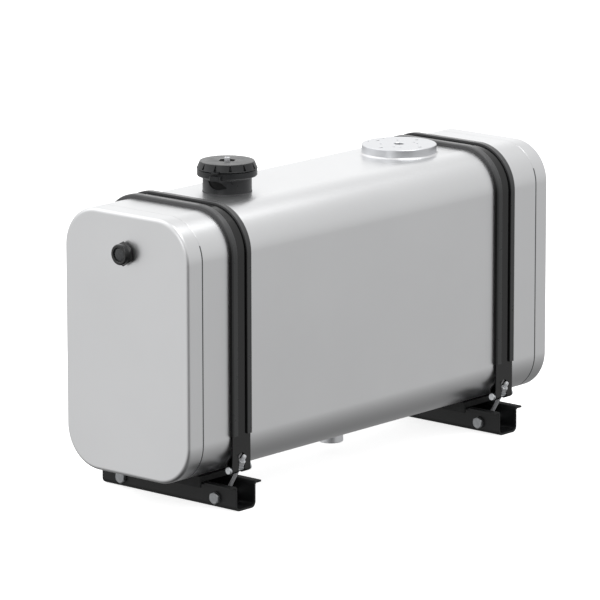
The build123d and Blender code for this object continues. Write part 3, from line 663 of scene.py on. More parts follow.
body = rounded_box(shell_low, shell_high, CORNER)
for side in (-1, 1):
    dress_end(body, side, SEAM, 2)
give_wall(body, (-1, 1))
holes = []
for radius, x, level in ((FILLER_HOLE_R, filler_x, tank_top), (RETURN_HOLE_R, return_x, tank_top),
                         (BOSS_R + BOSS_GAP, boss_x, tank_bottom)):
    holes.append(shift(rod(radius, 4 * SHEET), Matrix.Translation((x, 0, level - 2 * SHEET))))
body = carve(body, join(*holes))
tank_body = place_piece("tank_body", body, sheet_aluminium, "root",
                        ["flat_sheets", "front_wrapper", "rear_wrapper"], edge=0)


def in_groove(face):
    """True for the chamfers at the two seams, up to where the corners turn over, which take painted shade.
    """
    off_seam = min(abs(face.center.x - shell_low.x), abs(face.center.x - shell_high.x))
    return off_seam < SEAM * 0.8 and face.center.z < tank_top - GROOVE_FADE


second_finish(tank_body, seam_painted_shade, in_groove)

# %% Pressed ends
for name, side in (("near", -1), ("far", 1)):
    cap_low, cap_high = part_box(f"{name}_end_cap")
    dish = rounded_box(cap_low, cap_high, CORNER)
    dress_end(dish, side, END_EDGE, 8)
    dress_end(dish, -side, SEAM, 2)
    give_wall(dish, (-side,))
    dish = place_piece(f"{name}_end", dish, sheet_aluminium, "root",
                       [f"{name}_end_cap"], edge=0)
    second_finish(dish, seam_painted_shade, in_groove)

# %% [markdown]
# ## Straps and their rubber
#
# A strap is a 50 mm steel band that runs up the front, over the top and down the back. Each end is
# rolled round a pin and lapped back on itself. The band lies in an extruded rubber channel whose
# lips fold over its edges, so that the painted band shows as a stripe between them. Both are one
# section led along the tank's outline, first over one half and then mirrored to the other.

# %% Sizes of a strap station
STRAP_WIDTH = 50 * MM
STRAP_SHEET = 2 * MM
LINER_WIDTH = 54 * MM
LINER_BASE = 2.5 * MM
LINER_TOTAL = 8.5 * MM
LIP_GAP = 26 * MM
LIP_ROUND = 1.3 * MM
LIP_SHOULDER = 3.5 * MM
LINER_DROP = 82 * MM
BAND_PLAY = 0.2 * MM
SKIN_GAP = 0.15 * MM
PIN_HEIGHT = 77.5 * MM
PIN_R = 6 * MM
ROLL_R = PIN_R + 0.05 * MM + STRAP_SHEET / 2
front = shell_high.y
strap_line = front + LINER_BASE + STRAP_SHEET / 2
pin_y = strap_line - ROLL_R
top_flat = front - CORNER
corner_z = tank_top - CORNER
stations = {}
for name in ("near", "far"):
    low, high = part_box(f"{name}_channel")
    stations[name] = (low.x + high.x) / 2
print("strap stations at x =", {name: round(x, 3) for name, x in stations.items()})


def both_halves(bm, start):
    """Take off the face at the tank's middle and mirror the half across it."""
    bmesh.ops.delete(bm, geom=[start], context="FACES")
    bmesh.ops.mirror(bm, geom=bm.verts[:] + bm.edges[:] + bm.faces[:], matrix=Matrix.Identity(4),
                     merge_dist=1e-5, axis="Y")
    bmesh.ops.recalc_face_normals(bm, faces=bm.faces[:])
    return bm


def middle_face(bm):
    """The section's own face, which lies at the tank's middle."""
    return min(bm.faces, key=lambda face: max(abs(corner.co.y) for corner in face.verts))


# %% Rubber liners
def liner_section(x):
    """The rubber's C section at the top of the tank, lips folded over the band."""
    half, slot, gap = LINER_WIDTH / 2, STRAP_WIDTH / 2 + BAND_PLAY, LIP_GAP / 2
    floor_z = tank_top + SKIN_GAP
    seat_z = tank_top + LINER_BASE - 0.05 * MM
    lip_z = seat_z + STRAP_SHEET + SKIN_GAP
    top_z = tank_top + LINER_TOTAL
    right_side = [(half, floor_z), (half, top_z), (gap, top_z), (gap, lip_z), (slot, lip_z),
                  (slot, seat_z)]
    corners = right_side + [(-across, level) for across, level in reversed(right_side)]
    bm = outline([(x + across, 0, level) for across, level in corners])
    for reach, soft in ((half, LIP_SHOULDER), (gap, LIP_ROUND)):
        crests = [corner for corner in bm.verts
                  if abs(corner.co.z - top_z) < 1e-6 and abs(abs(corner.co.x - x) - reach) < 1e-6]
        bmesh.ops.bevel(bm, geom=crests, offset=soft, offset_type="OFFSET", segments=5,
                        profile=0.5, affect="VERTICES", material=-1)
    return bm


for name, x in stations.items():
    liner = liner_section(x)
    lead(liner, (x, 0, tank_top), (0, -1, 0),
         [top_flat, (CORNER, radians(90)), corner_z - tank_bottom - LINER_DROP])
    liner = both_halves(liner, middle_face(liner))
    liner = place_piece(f"{name}_strap_rubber", liner, extruded_rubber, "root",
                        [f"{name}_liner"], edge=0)
    # The liner's sides are coloured darker as painted shade.
    second_finish(liner, matt_rubber_painted_light_and_shade, lambda face: abs(face.normal.x) > 0.95)

# %% Steel straps
LAP_LEAN = radians(37)
LAP_BEND = 6 * MM
SLOT_WIDTH = 17 * MM
SLOT_LOW = PIN_HEIGHT - 12 * MM
SLOT_TOP = 109.5 * MM
SLOT_START, SLOT_REACH = 24 * MM, 30 * MM
LAP_UNDER, LAP_END = 12 * MM, 10 * MM
lap_shift = 2 * ROLL_R - STRAP_SHEET
lean_run = (lap_shift - 2 * LAP_BEND * (1 - cos(LAP_LEAN))) / sin(LAP_LEAN)
for name, x in stations.items():
    near_x, far_x = x - STRAP_WIDTH / 2, x + STRAP_WIDTH / 2
    low_z = tank_top + LINER_BASE
    high_z = low_z + STRAP_SHEET
    strap = outline([(near_x, 0, low_z), (far_x, 0, low_z), (far_x, 0, high_z), (near_x, 0, high_z)])
    band_z = low_z + STRAP_SHEET / 2
    lead(strap, (x, 0, band_z), (0, -1, 0), [
        top_flat,
        (band_z - corner_z, radians(90)),
        corner_z - PIN_HEIGHT,
        (ROLL_R, radians(180)),
        LAP_UNDER,
        (LAP_BEND, LAP_LEAN),
        lean_run,
        (LAP_BEND, -LAP_LEAN),
        LAP_END,
    ])
    strap = both_halves(strap, middle_face(strap))
    windows = []
    for side in (-1, 1):
        window = rectangle(SLOT_WIDTH, SLOT_TOP - SLOT_LOW, SLOT_WIDTH / 2 - 0.2 * MM, 8)
        draw_out(window, (0, 0, SLOT_REACH))
        stand = Matrix.Translation((x, side * (strap_line - SLOT_START), (SLOT_LOW + SLOT_TOP) / 2))
        windows.append(shift(window, stand @ Matrix.Rotation(radians(-90 * side), 4, "X")))
    strap = carve(strap, join(*windows))
    place_piece(f"{name}_strap_band", strap, strap_paint, "root", [f"{name}_strap"],
                edge=0.35 * MM)

# %% [markdown]
# ## Channels and pads
#
# Each channel is 4 mm plate folded into a hat: a web on the chassis, two walls and two flanges. The
# fold lines are bevelled into real bend radii before the sheet gets its thickness, which is how the
# press brake leaves them. A rubber saddle hooks over the flanges and carries the tank.

# %% Channels
CHANNEL_SHEET = 4 * MM
BEND = 7 * MM
CROSS_BOLT_Z = 20 * MM
CROSS_BOLT_Y = 121 * MM
CROSS_BOLT_R = 7 * MM
BOLT_PLAY = 0.3 * MM
CHASSIS_BOLT_Y = 60 * MM
CHASSIS_HOLE_R = 6.5 * MM
CROSS_DRILL = 120 * MM
channel_low, channel_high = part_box("near_channel")
channel_length = channel_high.y - channel_low.y
channel_top = channel_high.z
flange_reach = (channel_high.x - channel_low.x) / 2
WALL_X = 24 * MM
for name, x in stations.items():
    channel = bmesh.new()
    top, low = channel_top - CHANNEL_SHEET / 2, CHANNEL_SHEET / 2
    folds = [(-flange_reach, top), (-WALL_X, top), (-WALL_X, low), (WALL_X, low), (WALL_X, top),
             (flange_reach, top)]
    points = [channel.verts.new((x + across, -channel_length / 2, level)) for across, level in folds]
    lines = [channel.edges.new(pair) for pair in zip(points, points[1:])]
    made = bmesh.ops.extrude_edge_only(channel, edges=lines)["geom"]
    moved = [part for part in made if isinstance(part, bmesh.types.BMVert)]
    bmesh.ops.translate(channel, verts=moved, vec=(0, channel_length, 0))
    creases = [line for line in channel.edges if len(line.link_faces) == 2]
    bmesh.ops.bevel(channel, geom=creases, offset=BEND, offset_type="OFFSET", segments=7,
                    profile=0.5, affect="EDGES", material=-1)
    bmesh.ops.recalc_face_normals(channel, faces=channel.faces[:])
    bmesh.ops.solidify(channel, geom=channel.faces[:], thickness=CHANNEL_SHEET)
    low_now = min(corner.co.z for corner in channel.verts)
    bmesh.ops.translate(channel, verts=channel.verts[:], vec=(0, 0, channel_low.z - low_now))
    cutters = []
    for side in (-1, 1):
        across = shift(rod(CROSS_BOLT_R + BOLT_PLAY, CROSS_DRILL),
                       along((x - CROSS_DRILL / 2, side * CROSS_BOLT_Y, CROSS_BOLT_Z), (1, 0, 0)))
        down = shift(rod(CHASSIS_HOLE_R, 3 * CHANNEL_SHEET),
                     Matrix.Translation((x, side * CHASSIS_BOLT_Y, -CHANNEL_SHEET)))
        cutters += [across, down]
    channel = carve(channel, join(*cutters))
    place_piece(f"{name}_channel_rail", channel, black_paint, "root",
                [f"{name}_channel"], edge=0.5 * MM)

# %% Rubber saddles
SADDLE_SKIRT = 5 * MM
for name, x in stations.items():
    low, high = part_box(f"{name}_pad")
    half = (high.x - low.x) / 2
    inner = half - SADDLE_SKIRT
    section = [(half, low.z), (half, high.z), (-half, high.z), (-half, low.z), (-inner, low.z),
               (-inner, channel_top), (inner, channel_top), (inner, low.z)]
    saddle = outline([(x + across, low.y, level) for across, level in section])
    draw_out(saddle, (0, high.y - low.y, 0))
    place_piece(f"{name}_saddle", saddle, pad_rubber, "root", [f"{name}_pad"],
                edge=1.2 * MM, steps=3)

# %% [markdown]
# ## Fasteners
#
# The hex shapes are a six-sided bar cut by a cone at each face, which leaves the curved chamfer
# lines of a real bolt head. Threads are a small three-cornered ridge spun along the bar as it rises
# one pitch a turn, wound on a plain core.

# %% Hexagons and threads
FACE_SHARE = 0.9
CHAMFER_SLOPE = tan(radians(32))
CHAMFER_EXTRA = 1.3
PAST_CORNER = 1.05


def hexagon(across_flats, height, bore=0.0, both=True):
    """A hex head or nut along Z, its corners turned off at the top and, for a nut, the bottom."""
    flat_r = across_flats / 2
    corner_r = flat_r / cos(radians(30))
    bm = bmesh.new()
    bmesh.ops.create_circle(bm, cap_ends=True, segments=6, radius=corner_r)
    draw_out(bm, (0, 0, height))
    face_r, clear_r = flat_r * FACE_SHARE, corner_r * PAST_CORNER
    fall = (corner_r - face_r) * CHAMFER_SLOPE * CHAMFER_EXTRA
    low_r, low_fall = (face_r, fall) if both else (clear_r, 0)
    lens = turn([(0, 0), (low_r, 0), (clear_r, low_fall), (clear_r, height - fall), (face_r, height),
                 (0, height)])
    bm = carve(bm, lens, "INTERSECT")
    if bore:
        bm = carve(bm, shift(rod(bore, 2 * height), Matrix.Translation((0, 0, -height / 2))))
    return bm


STEPS_A_TURN = 20
THREAD_SHARE = 0.6


def thread(radius, length, pitch):
    """A helical ridge and its core along Z from the origin."""
    depth = THREAD_SHARE * pitch
    core = turn([(0, 0), (radius - depth, 0), (radius - depth, length - pitch / 2),
                 (radius - 2 * depth, length), (0, length)], 24)
    ridge = bmesh.new()
    root_r = radius - 1.2 * depth
    corners = [(root_r, 0, 0), (root_r, 0, pitch), (radius, 0, pitch / 2)]
    ridge.faces.new([ridge.verts.new(corner) for corner in corners])
    turns = int(length / pitch) - 1
    steps = turns * STEPS_A_TURN
    bmesh.ops.spin(ridge, geom=ridge.faces[:], cent=(0, 0, 0), axis=(0, 0, 1), angle=2 * pi * turns,
                   steps=steps, dvec=(0, 0, turns * pitch / steps))
    bmesh.ops.recalc_face_normals(ridge, faces=ridge.faces[:])
    return join(core, ridge)


# %% Pins, rods, nuts and cross bolts at the four strap ends
rod_out, rod_up = pin_y - CROSS_BOLT_Y, PIN_HEIGHT - CROSS_BOLT_Z
rod_run = hypot(rod_out, rod_up)
ROD_R = 4 * MM
ROD_LENGTH = 98 * MM
PIN_SEAT = 5 * MM
WASHER = 1.6 * MM
NUT_HEIGHT = 6.5 * MM
PITCH = 1.25 * MM
THREADED = 42 * MM
EYE_R, EYE_HALF, EYE_BORE, EYE_SOFT = 13 * MM, 6 * MM, 7.1 * MM, MM
PIN_HEAD_R, PIN_HEAD, PIN_SLOPE, PIN_FALL = 7.6 * MM, 4 * MM, 1.4 * MM, 1.2 * MM
NUT_FLATS = 13 * MM
BOLT_FLATS, BOLT_HEAD, BOLT_THREAD, BOLT_PITCH = 22 * MM, 8.8 * MM, 24 * MM, 2 * MM
for name, x in stations.items():
    for end, side in (("front", -1), ("rear", 1)):
        label = f"{name}_{end}"
        lean = Vector((0, side * rod_out, rod_up)).normalized()
        eye = Vector((x, side * CROSS_BOLT_Y, CROSS_BOLT_Z))
        seat = rod_run + PIN_SEAT

        plain = ROD_LENGTH - THREADED
        shank = shift(rod(ROD_R, plain, 32), along(eye, lean))
        tip = shift(thread(ROD_R, THREADED, PITCH), along(eye + lean * plain, lean))
        ring = turn([(EYE_BORE, -EYE_HALF), (EYE_R - 0.8 * EYE_SOFT, -EYE_HALF),
                     (EYE_R, EYE_SOFT - EYE_HALF), (EYE_R, EYE_HALF - EYE_SOFT),
                     (EYE_R - 0.8 * EYE_SOFT, EYE_HALF), (EYE_BORE, EYE_HALF)], 48, closed=True)
        shift(ring, along(eye, (1, 0, 0)))
        inside_eye = shift(rod(EYE_R - EYE_SOFT, 20 * MM), along(eye - Vector((10 * MM, 0, 0)), (1, 0, 0)))
        shank = carve(shank, inside_eye)
        place_piece(f"{label}_eye_rod", join(shank, tip, ring), bright_zinc, "root",
                    [f"{label}_rod"], edge=0)

        pin_low, pin_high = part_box(f"{label}_pin")
        length = pin_high.x - pin_low.x
        pin = turn([(0, 0), (PIN_HEAD_R - PIN_SLOPE, 0), (PIN_HEAD_R, PIN_FALL), (PIN_HEAD_R, PIN_HEAD),
                    (PIN_R, PIN_HEAD), (PIN_R, length - PIN_HEAD), (PIN_HEAD_R, length - PIN_HEAD),
                    (PIN_HEAD_R, length - PIN_FALL), (PIN_HEAD_R - PIN_SLOPE, length), (0, length)], 48)
        shift(pin, along((pin_low.x, side * pin_y, PIN_HEIGHT), (1, 0, 0)))
        bores = join(
            shift(rod(ROD_R + 0.1 * MM, 16 * MM), along(eye + lean * (rod_run - 12 * MM), lean)),
            shift(rod(8.3 * MM, 6 * MM), along(eye + lean * seat, lean)),
        )
        pin = carve(pin, bores)
        place_piece(f"{label}_trunnion", pin, zinc_steel, "root", [f"{label}_pin"],
                    edge=0.2 * MM)

        for piece_name, node, level in (("tension_hex", "tension_nut", 0), ("lock_hex", "lock_nut", 1)):
            nut = hexagon(NUT_FLATS, NUT_HEIGHT - 0.05 * MM, bore=ROD_R + 0.06 * MM)
            shift(nut, along(eye + lean * (seat + WASHER + level * NUT_HEIGHT), lean))
            place_piece(f"{label}_{piece_name}", nut, bright_zinc, f"{label}_nuts",
                        [f"{label}_{node}"], edge=0.15 * MM)

        bolt_low, bolt_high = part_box(f"{label}_cross_bolt")
        wall_x = bolt_low.x + BOLT_HEAD
        thread_x = bolt_high.x - BOLT_THREAD
        bolt_y = side * CROSS_BOLT_Y
        head = hexagon(BOLT_FLATS, BOLT_HEAD, both=False)
        shift(head, along((wall_x, bolt_y, CROSS_BOLT_Z), (-1, 0, 0)))
        bar = shift(rod(CROSS_BOLT_R, thread_x - wall_x, 32),
                    along((wall_x, bolt_y, CROSS_BOLT_Z), (1, 0, 0)))
        tail = shift(thread(CROSS_BOLT_R, BOLT_THREAD, BOLT_PITCH),
                     along((thread_x, bolt_y, CROSS_BOLT_Z), (1, 0, 0)))
        place_piece(f"{label}_hex_bolt", join(head, bar, tail), dull_zinc, "root",
                    [f"{label}_cross_bolt"], edge=0.25 * MM)

# %% [markdown]
# ## The filler
#
# The neck is a moulded cup with a wide collar and a leaf-shaped hollow sunk in its wall. Inside its
# mouth two lips catch the cap's ears, and a small lug on the collar takes a padlock. The cap is a
# shallow crown with twelve grip notches down its sloping side and a six-sided well round its screw.
# Both are turned on the lathe, and what isn't round is carved from them or joined on.

# %% Neck
collar_z = tank_top + 44 * MM
NECK_R = 47 * MM
COLLAR_R = 57.5 * MM
NECK_BORE = 44.3 * MM
FOOT_BORE = 34 * MM
FOOT_SHEET = 5 * MM
NECK_SCREWS, SCREW_CIRCLE, SCREW_HOLE = 6, 40.3 * MM, 2.3 * MM
LIP_LOW, LIP_TOP, LIP_INNER, LIP_OUTER = 8 * MM, 5 * MM, 39.5 * MM, 44.7 * MM
LIP_SWEEP = radians(106)
LUG_ANGLE = radians(-159)
LUG_HOLE = 2.6 * MM
LUG_OUT, LUG_WIDE, LUG_THICK = 20 * MM, 22 * MM, 9 * MM
LUG_MIDDLE, LUG_FOOT = 59.5 * MM, 30.5 * MM
neck_base = tank_top + 1.5 * MM
neck = turn([
    (FOOT_BORE, neck_base), (NECK_R, neck_base), (NECK_R, tank_top + 26 * MM),
    (48.2 * MM, tank_top + 28.2 * MM), (56.4 * MM, tank_top + 30.8 * MM),
    (COLLAR_R, tank_top + 32.4 * MM), (COLLAR_R, collar_z - 1.6 * MM),
    (COLLAR_R - 1.4 * MM, collar_z - 0.3 * MM), (COLLAR_R - 1.9 * MM, collar_z), (NECK_BORE, collar_z),
    (NECK_BORE, neck_base + FOOT_SHEET), (FOOT_BORE, neck_base + FOOT_SHEET),
], closed=True)
screw_holes = []
for place in range(NECK_SCREWS):
    turned_by = place * 2 * pi / NECK_SCREWS
    at = (SCREW_CIRCLE * cos(turned_by), SCREW_CIRCLE * sin(turned_by), neck_base - MM)
    screw_holes.append(shift(rod(SCREW_HOLE, FOOT_SHEET + 3 * MM, 20), Matrix.Translation(at)))
neck = carve(neck, join(*screw_holes))
print("neck turned and drilled for", NECK_SCREWS, "screws")

# %% Leaf hollow in the neck's wall
LEAF_ANGLE = radians(-162)
LEAF_FLOOR = 45.4 * MM
LEAF_REACH = 30 * MM
LEAF_HEIGHT = 18.5 * MM
LEAF = ((19, -5), (8, 4.5), (-6, 8.5), (-21, 7.5), (-17, -1), (-9, -7), (3, -9))
leaf = outline([(across * MM, level * MM, 0) for across, level in LEAF], 2 * MM, 5)
draw_out(leaf, (0, 0, LEAF_REACH))
outward = Vector((cos(LEAF_ANGLE), sin(LEAF_ANGLE), 0))
sideways = Vector((-sin(LEAF_ANGLE), cos(LEAF_ANGLE), 0))
stand = Matrix((sideways, Vector((0, 0, 1)), outward)).transposed().to_4x4()
stand.translation = outward * LEAF_REACH + Vector((0, 0, tank_top + LEAF_HEIGHT))
shift(leaf, stand)
core = shift(rod(LEAF_FLOOR, 80 * MM, 96), Matrix.Translation((0, 0, tank_top - 10 * MM)))
neck = carve(neck, carve(leaf, core))
print("leaf hollow", round((NECK_R - LEAF_FLOOR) / MM, 1), "mm deep")

# %% Bayonet lips and padlock lug
lips = []
for middle in (90, 270):
    start = radians(middle) - LIP_SWEEP / 2
    lip = outline([(LIP_INNER, 0, collar_z - LIP_LOW), (LIP_OUTER, 0, collar_z - LIP_LOW),
                   (LIP_OUTER, 0, collar_z - LIP_TOP), (LIP_INNER, 0, collar_z - LIP_TOP)])
    bmesh.ops.rotate(lip, verts=lip.verts[:], cent=(0, 0, 0), matrix=Matrix.Rotation(start, 3, "Z"))
    bmesh.ops.spin(lip, geom=lip.faces[:], cent=(0, 0, 0), axis=(0, 0, 1), angle=LIP_SWEEP, steps=28)
    bmesh.ops.recalc_face_normals(lip, faces=lip.faces[:])
    lips.append(lip)
lug = draw_out(rectangle(LUG_OUT, LUG_WIDE, 4 * MM, 6), (0, 0, LUG_THICK))
lug = carve(lug, shift(rod(LUG_HOLE, 14 * MM, 24), Matrix.Translation((4 * MM, 0, -2 * MM))))
shift(lug, Matrix.Rotation(LUG_ANGLE, 4, "Z") @ Matrix.Translation((LUG_MIDDLE, 0, tank_top + LUG_FOOT)))
clear_of_neck = shift(rod(50 * MM, 30 * MM), Matrix.Translation((0, 0, tank_top + 25 * MM)))
lug = carve(lug, clear_of_neck)
neck = shift(join(neck, *lips, lug), Matrix.Translation((filler_x, 0, 0)))
filler_cup = place_piece("filler_cup", neck, moulded_nylon, "root", ["filler_neck"],
                         edge=0.3 * MM)


def in_leaf(face):
    """True for the floor and sides of the sunk leaf in the neck's wall, which get painted shade."""
    spot = face.center - Vector((filler_x, 0, 0))
    return (LEAF_FLOOR - 0.3 * MM < spot.xy.length < NECK_R - 0.2 * MM
            and tank_top + 8 * MM < spot.z < tank_top + 29 * MM)


second_finish(filler_cup, nylon_painted_shade, in_leaf)

# %% Cap
cap_foot = collar_z + 0.3 * MM
cap_top = tank_top + 59 * MM
CAP_R = 58 * MM
CAP_INNER_R = 54 * MM
CAP_SHEET = 5 * MM
CAP_STEM_R, CAP_STEM_BORE = 9 * MM, 3.2 * MM
stem_foot = collar_z - 8.6 * MM
NOTCHES = 12
NOTCH_HEIGHT = 10.2 * MM
FIRST_NOTCH = radians(-132)
WELL_R, WELL_DEPTH = 15.4 * MM, 2.6 * MM
CAP_SLOPE = 0.42
TAB_OUT, TAB_WIDE, TAB_THICK = 16 * MM, 14 * MM, 3 * MM
TAB_MIDDLE = 59 * MM
crown = turn([
    (CAP_STEM_BORE, stem_foot), (CAP_STEM_R, stem_foot), (CAP_STEM_R, cap_top - CAP_SHEET),
    (CAP_INNER_R, cap_top - CAP_SHEET), (CAP_INNER_R, cap_foot), (CAP_R - 0.6 * MM, cap_foot),
    (CAP_R, cap_foot + 0.6 * MM), (CAP_R, cap_foot + 1.4 * MM), (CAP_R - 0.7 * MM, cap_foot + 2.2 * MM),
    (CAP_R - 4.9 * MM, cap_top - 2.2 * MM), (CAP_R - 5.6 * MM, cap_top - 0.5 * MM),
    (CAP_R - 6.6 * MM, cap_top), (CAP_STEM_BORE, cap_top),
], closed=True)
cutters = []
for place in range(NOTCHES):
    notch = rectangle(6.4 * MM, 6 * MM, 1.8 * MM, 4)
    draw_out(notch, (0, 0, NOTCH_HEIGHT))
    high = [corner for corner in notch.verts if corner.co.z > NOTCH_HEIGHT / 2]
    bmesh.ops.scale(notch, verts=high, vec=(1, 0.3, 1))
    bmesh.ops.translate(notch, verts=high, vec=(-3.7 * MM, 0, 0))
    ray = Matrix.Rotation(FIRST_NOTCH + place * 2 * pi / NOTCHES, 4, "Z")
    cutters.append(shift(notch, ray @ Matrix.Translation((57.4 * MM, 0, collar_z + 2.6 * MM))))
well = bmesh.new()
bmesh.ops.create_circle(well, cap_ends=True, segments=6, radius=WELL_R)
draw_out(well, (0, 0, 4 * MM))
rim = [corner for corner in well.verts if corner.co.z > MM]
bmesh.ops.scale(well, verts=rim, vec=(1.16, 1.16, 1))
cutters.append(shift(well, Matrix.Translation((0, 0, cap_top - WELL_DEPTH))))
crown = carve(crown, join(*cutters))
tab = draw_out(rectangle(TAB_OUT, TAB_WIDE, 3 * MM, 6), (0, 0, TAB_THICK))
tab = carve(tab, shift(rod(LUG_HOLE, 9 * MM, 24), Matrix.Translation((4.5 * MM, 0, -2 * MM))))
shift(tab, Matrix.Rotation(LUG_ANGLE, 4, "Z") @ Matrix.Translation((TAB_MIDDLE, 0, cap_foot)))
tab = carve(tab, shift(rod(55 * MM, 30 * MM), Matrix.Translation((0, 0, cap_foot - 10 * MM))))
crown = shift(join(crown, tab), Matrix.Translation((filler_x, 0, 0)))
cap_crown = place_piece("cap_crown", crown, moulded_nylon, "cap", ["filler_cap"],
                        edge=0.3 * MM)


def in_hollow(face):
    """True for the walls of the grip notches and of the hexagonal well, which get painted shade."""
    spot = face.center - Vector((filler_x, 0, 0))
    reach = spot.xy.length
    side_r = CAP_R - (spot.z - cap_foot) * CAP_SLOPE
    in_notch = 48 * MM < reach < side_r - 0.6 * MM and cap_foot + MM < spot.z < cap_top - 1.5 * MM
    in_well = reach < 18 * MM and cap_top - 3 * MM < spot.z < cap_top - 0.1 * MM
    return in_notch or in_well


second_finish(cap_crown, nylon_painted_shade, in_hollow)

# %% Cap screw and gaskets
SCREW_HEAD, SCREW_HEAD_R = 9 * MM, 5.6 * MM
SOCKET_R, SOCKET_DEPTH = 3 * MM, 3.5 * MM
SCREW_R, SCREW_PITCH = 3 * MM, MM
GASKET_BORE = 36 * MM
screw_head = turn([(0, 0), (SCREW_HEAD_R, 0), (SCREW_HEAD_R, SCREW_HEAD - 1.6 * MM),
                   (SCREW_HEAD_R - 0.5 * MM, SCREW_HEAD - 0.6 * MM),
                   (SCREW_HEAD_R - 1.4 * MM, SCREW_HEAD), (0, SCREW_HEAD)], 48)
socket = bmesh.new()
bmesh.ops.create_circle(socket, cap_ends=True, segments=6, radius=SOCKET_R)
draw_out(socket, (0, 0, 5 * MM))
screw_head = carve(screw_head, shift(socket, Matrix.Translation((0, 0, SCREW_HEAD - SOCKET_DEPTH))))
screw_low, screw_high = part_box("cap_screw")
head_foot = screw_high.z - SCREW_HEAD
shift(screw_head, Matrix.Translation((filler_x, 0, head_foot)))
stem = shift(thread(SCREW_R, head_foot - screw_low.z, SCREW_PITCH),
             along((filler_x, 0, head_foot), (0, 0, -1)))
place_piece("cap_centre_screw", join(screw_head, stem), bright_zinc, "cap", ["cap_screw"],
            edge=0.15 * MM)

low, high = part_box("neck_gasket")
gasket_r = high.x - filler_x
foot_ring = turn([(GASKET_BORE, low.z), (gasket_r, low.z), (gasket_r, high.z), (GASKET_BORE, high.z)],
                 closed=True)
# The foot ring takes the dark matt rubber, which is painted paler near the top as painted light.
place_piece("neck_foot_ring", shift(foot_ring, Matrix.Translation((filler_x, 0, 0))), matt_rubber_painted_light_and_shade, "root",
            ["neck_gasket"], edge=0.3 * MM)

# %% [markdown]
# ## Return flange, suction boss and sight glass
#
# The return flange is a turned disc with tapped holes, welded on: the bead round it is a turned
# fillet with the welder's ripples, made by letting its section swell and sink as it goes round. The
# boss is a plain tube under the tank. The sight glass is a black hexagon screwed into the end.

# %% Return flange
FLANGE_R = 74 * MM
BIG_CIRCLE, BIG_TAP = 54 * MM, 3.4 * MM
SMALL_CIRCLE, SMALL_TAP = 36 * MM, 2.5 * MM
TAP_DEPTH = 15 * MM
flange_top = return_high.z
flange = turn([(RETURN_HOLE_R, tank_top), (FLANGE_R - 0.8 * MM, tank_top),
               (FLANGE_R, tank_top + 0.8 * MM), (FLANGE_R, flange_top - MM), (FLANGE_R - MM, flange_top),
               (RETURN_HOLE_R + MM, flange_top), (RETURN_HOLE_R, flange_top - MM)], 128, closed=True)
tapped = []
for circle, radius, first in ((BIG_CIRCLE, BIG_TAP, 0), (SMALL_CIRCLE, SMALL_TAP, 45)):
    for place in range(4):
        bearing = radians(first + 90 * place)
        tapped.append((circle * cos(bearing), circle * sin(bearing), radius))
tapped += [(x * MM, y * MM, SMALL_TAP) for x, y in ((-31, -13), (31, -13), (-23, 60), (23, 60))]
drills = []
for x, y, radius in tapped:
    drill = turn([(0, 0), (radius, 0), (radius, TAP_DEPTH - 0.4 * MM),
                  (radius + 1.2 * MM, TAP_DEPTH + 0.8 * MM), (0, TAP_DEPTH + 0.8 * MM)], 24)
    drills.append(shift(drill, Matrix.Translation((x, y, flange_top - TAP_DEPTH))))
flange = carve(flange, join(*drills))
place_piece("return_disc", shift(flange, Matrix.Translation((return_x, 0, 0))), turned_aluminium, "root",
            ["return_flange"], edge=0)

# %% Weld bead round it
RIPPLES = 150
RIPPLE_SWELL = 0.001
# Each pair is how far a corner of the bead's section stands out from the flange and up, in mm.
BEAD = ((0.1, 0), (3.2, 0), (2.4, 0.5), (1.4, 1.3), (0.7, 2.1), (0.1, 3.0))
bead = turn([(FLANGE_R + across * MM, tank_top + level * MM) for across, level in BEAD],
            RIPPLES * 4, closed=True)
crest = [corner for corner in bead.verts
         if corner.co.z > tank_top + 0.5 * MM and corner.co.xy.length > FLANGE_R + 0.5 * MM]
for corner in crest:
    bearing = corner.co.xy.angle_signed(Vector((1, 0)), 0)
    swell = 1 + RIPPLE_SWELL * cos(bearing * RIPPLES)
    corner.co.x *= swell
    corner.co.y *= swell
place_piece("return_bead", shift(bead, Matrix.Translation((return_x, 0, 0))), sheet_aluminium, "root",
            ["return_weld"], edge=0, sharp=60)

# %% Suction boss
boss = turn([
    (BOSS_BORE + MM, boss_low.z), (BOSS_R - MM, boss_low.z), (BOSS_R, boss_low.z + MM),
    (BOSS_R, boss_high.z), (BOSS_BORE, boss_high.z), (BOSS_BORE, boss_low.z + MM),
], closed=True)
place_piece("suction_tube", shift(boss, Matrix.Translation((boss_x, 0, 0))), turned_aluminium, "root",
            ["suction_boss"], edge=0.2 * MM)

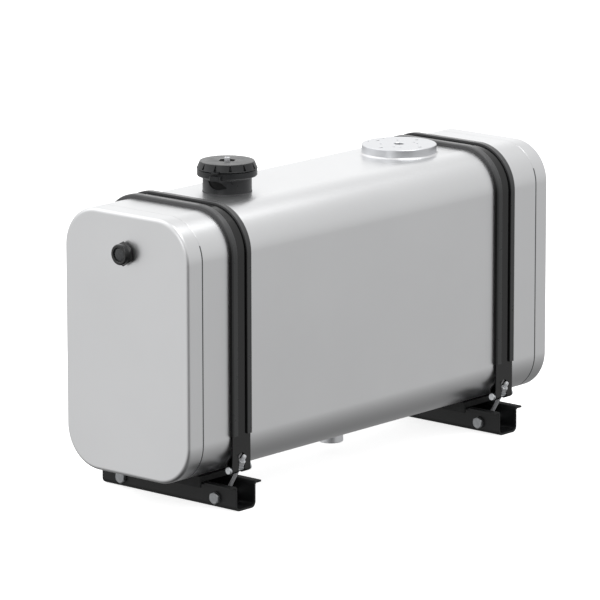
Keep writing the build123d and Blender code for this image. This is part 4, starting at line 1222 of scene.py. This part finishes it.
# %% Sight glass
sight_low, sight_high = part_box("sight_body")
sight_y, sight_z = (sight_low.y + sight_high.y) / 2, (sight_low.z + sight_high.z) / 2
end_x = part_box("near_end_cap")[0].x
SIGHT_FLATS, SIGHT_HEX = 41 * MM, 9 * MM
SIGHT_BORE, SIGHT_WINDOW_R, SIGHT_R = 9 * MM, 13 * MM, 20 * MM
SIGHT_HEIGHT, SIGHT_THREAD, SIGHT_OVERLAP = 18 * MM, 20 * MM, 0.1 * MM
out = along((end_x - 2 * MM, sight_y, sight_z), (-1, 0, 0))
sight = hexagon(SIGHT_FLATS, SIGHT_HEX)
sight = carve(sight, shift(rod(SIGHT_BORE, 20 * MM), Matrix.Translation((0, 0, -5 * MM))))
collar_foot = SIGHT_HEX - SIGHT_OVERLAP
collar = turn([(SIGHT_WINDOW_R, collar_foot), (SIGHT_R, collar_foot), (SIGHT_R, SIGHT_HEIGHT - 2.8 * MM),
               (SIGHT_R - 0.6 * MM, SIGHT_HEIGHT - 1.2 * MM), (SIGHT_R - 2.2 * MM, SIGHT_HEIGHT),
               (SIGHT_WINDOW_R + MM, SIGHT_HEIGHT), (SIGHT_WINDOW_R, SIGHT_HEIGHT - MM)], 72, closed=True)
thread_in = turn([(SIGHT_BORE, SIGHT_OVERLAP), (SIGHT_BORE, -SIGHT_THREAD),
                  (SIGHT_WINDOW_R, -SIGHT_THREAD), (SIGHT_WINDOW_R, SIGHT_OVERLAP)], 48, closed=True)
place_piece("sight_hexagon", shift(join(sight, collar, thread_in), out), gloss_nylon, "root",
            ["sight_body"], edge=0.4 * MM)
# Each pair is a radius and a height on the window's outline, in mm, with its dome as four steps.
DOME = ((0, 12), (12.9, 12), (12.9, 14.8), (11.5, 15.8), (8, 16.3), (4, 16.5), (0, 16.5))
dome = turn([(radius * MM, level * MM) for radius, level in DOME], 72)
place_piece("sight_window", shift(dome, out), sight_glass, "root", ["sight_lens"], edge=0)

# %% [markdown]
# ## The pieces that keep their own shape
#
# What is plain and mostly hidden stays as the frame made it, and only takes its finish: baffles,
# ring, strainer, latch, foam, washers, sleeves and nuts.

# %% Finishes on the kept pieces
KEPT = {
    "inner": (bare_inside, ["baffles", "filler_ring", "sight_socket"]),
    "strainer": (strainer_nylon, ["strainer_basket"]),
    "foam": (open_foam, ["breather_element"]),
    "rubber": (pad_rubber, ["cap_gasket", "sight_seal"]),
    "white": (white_enamel, ["sight_reflector"]),
    "steel": (zinc_steel, ["neck_screws", "latch_plate", "cap_nut", "spacer_sleeves",
                           "cross_bolt_washers", "cross_bolt_nuts"]
              + [f"{name}_{end}_washer" for name in stations for end in ("front", "rear")]),
}
for group, (paint, names) in KEPT.items():
    for node_name in names:
        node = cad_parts[node_name]
        for place in node.material_slots:
            place.material = paint
    print(group, len(names), "pieces")
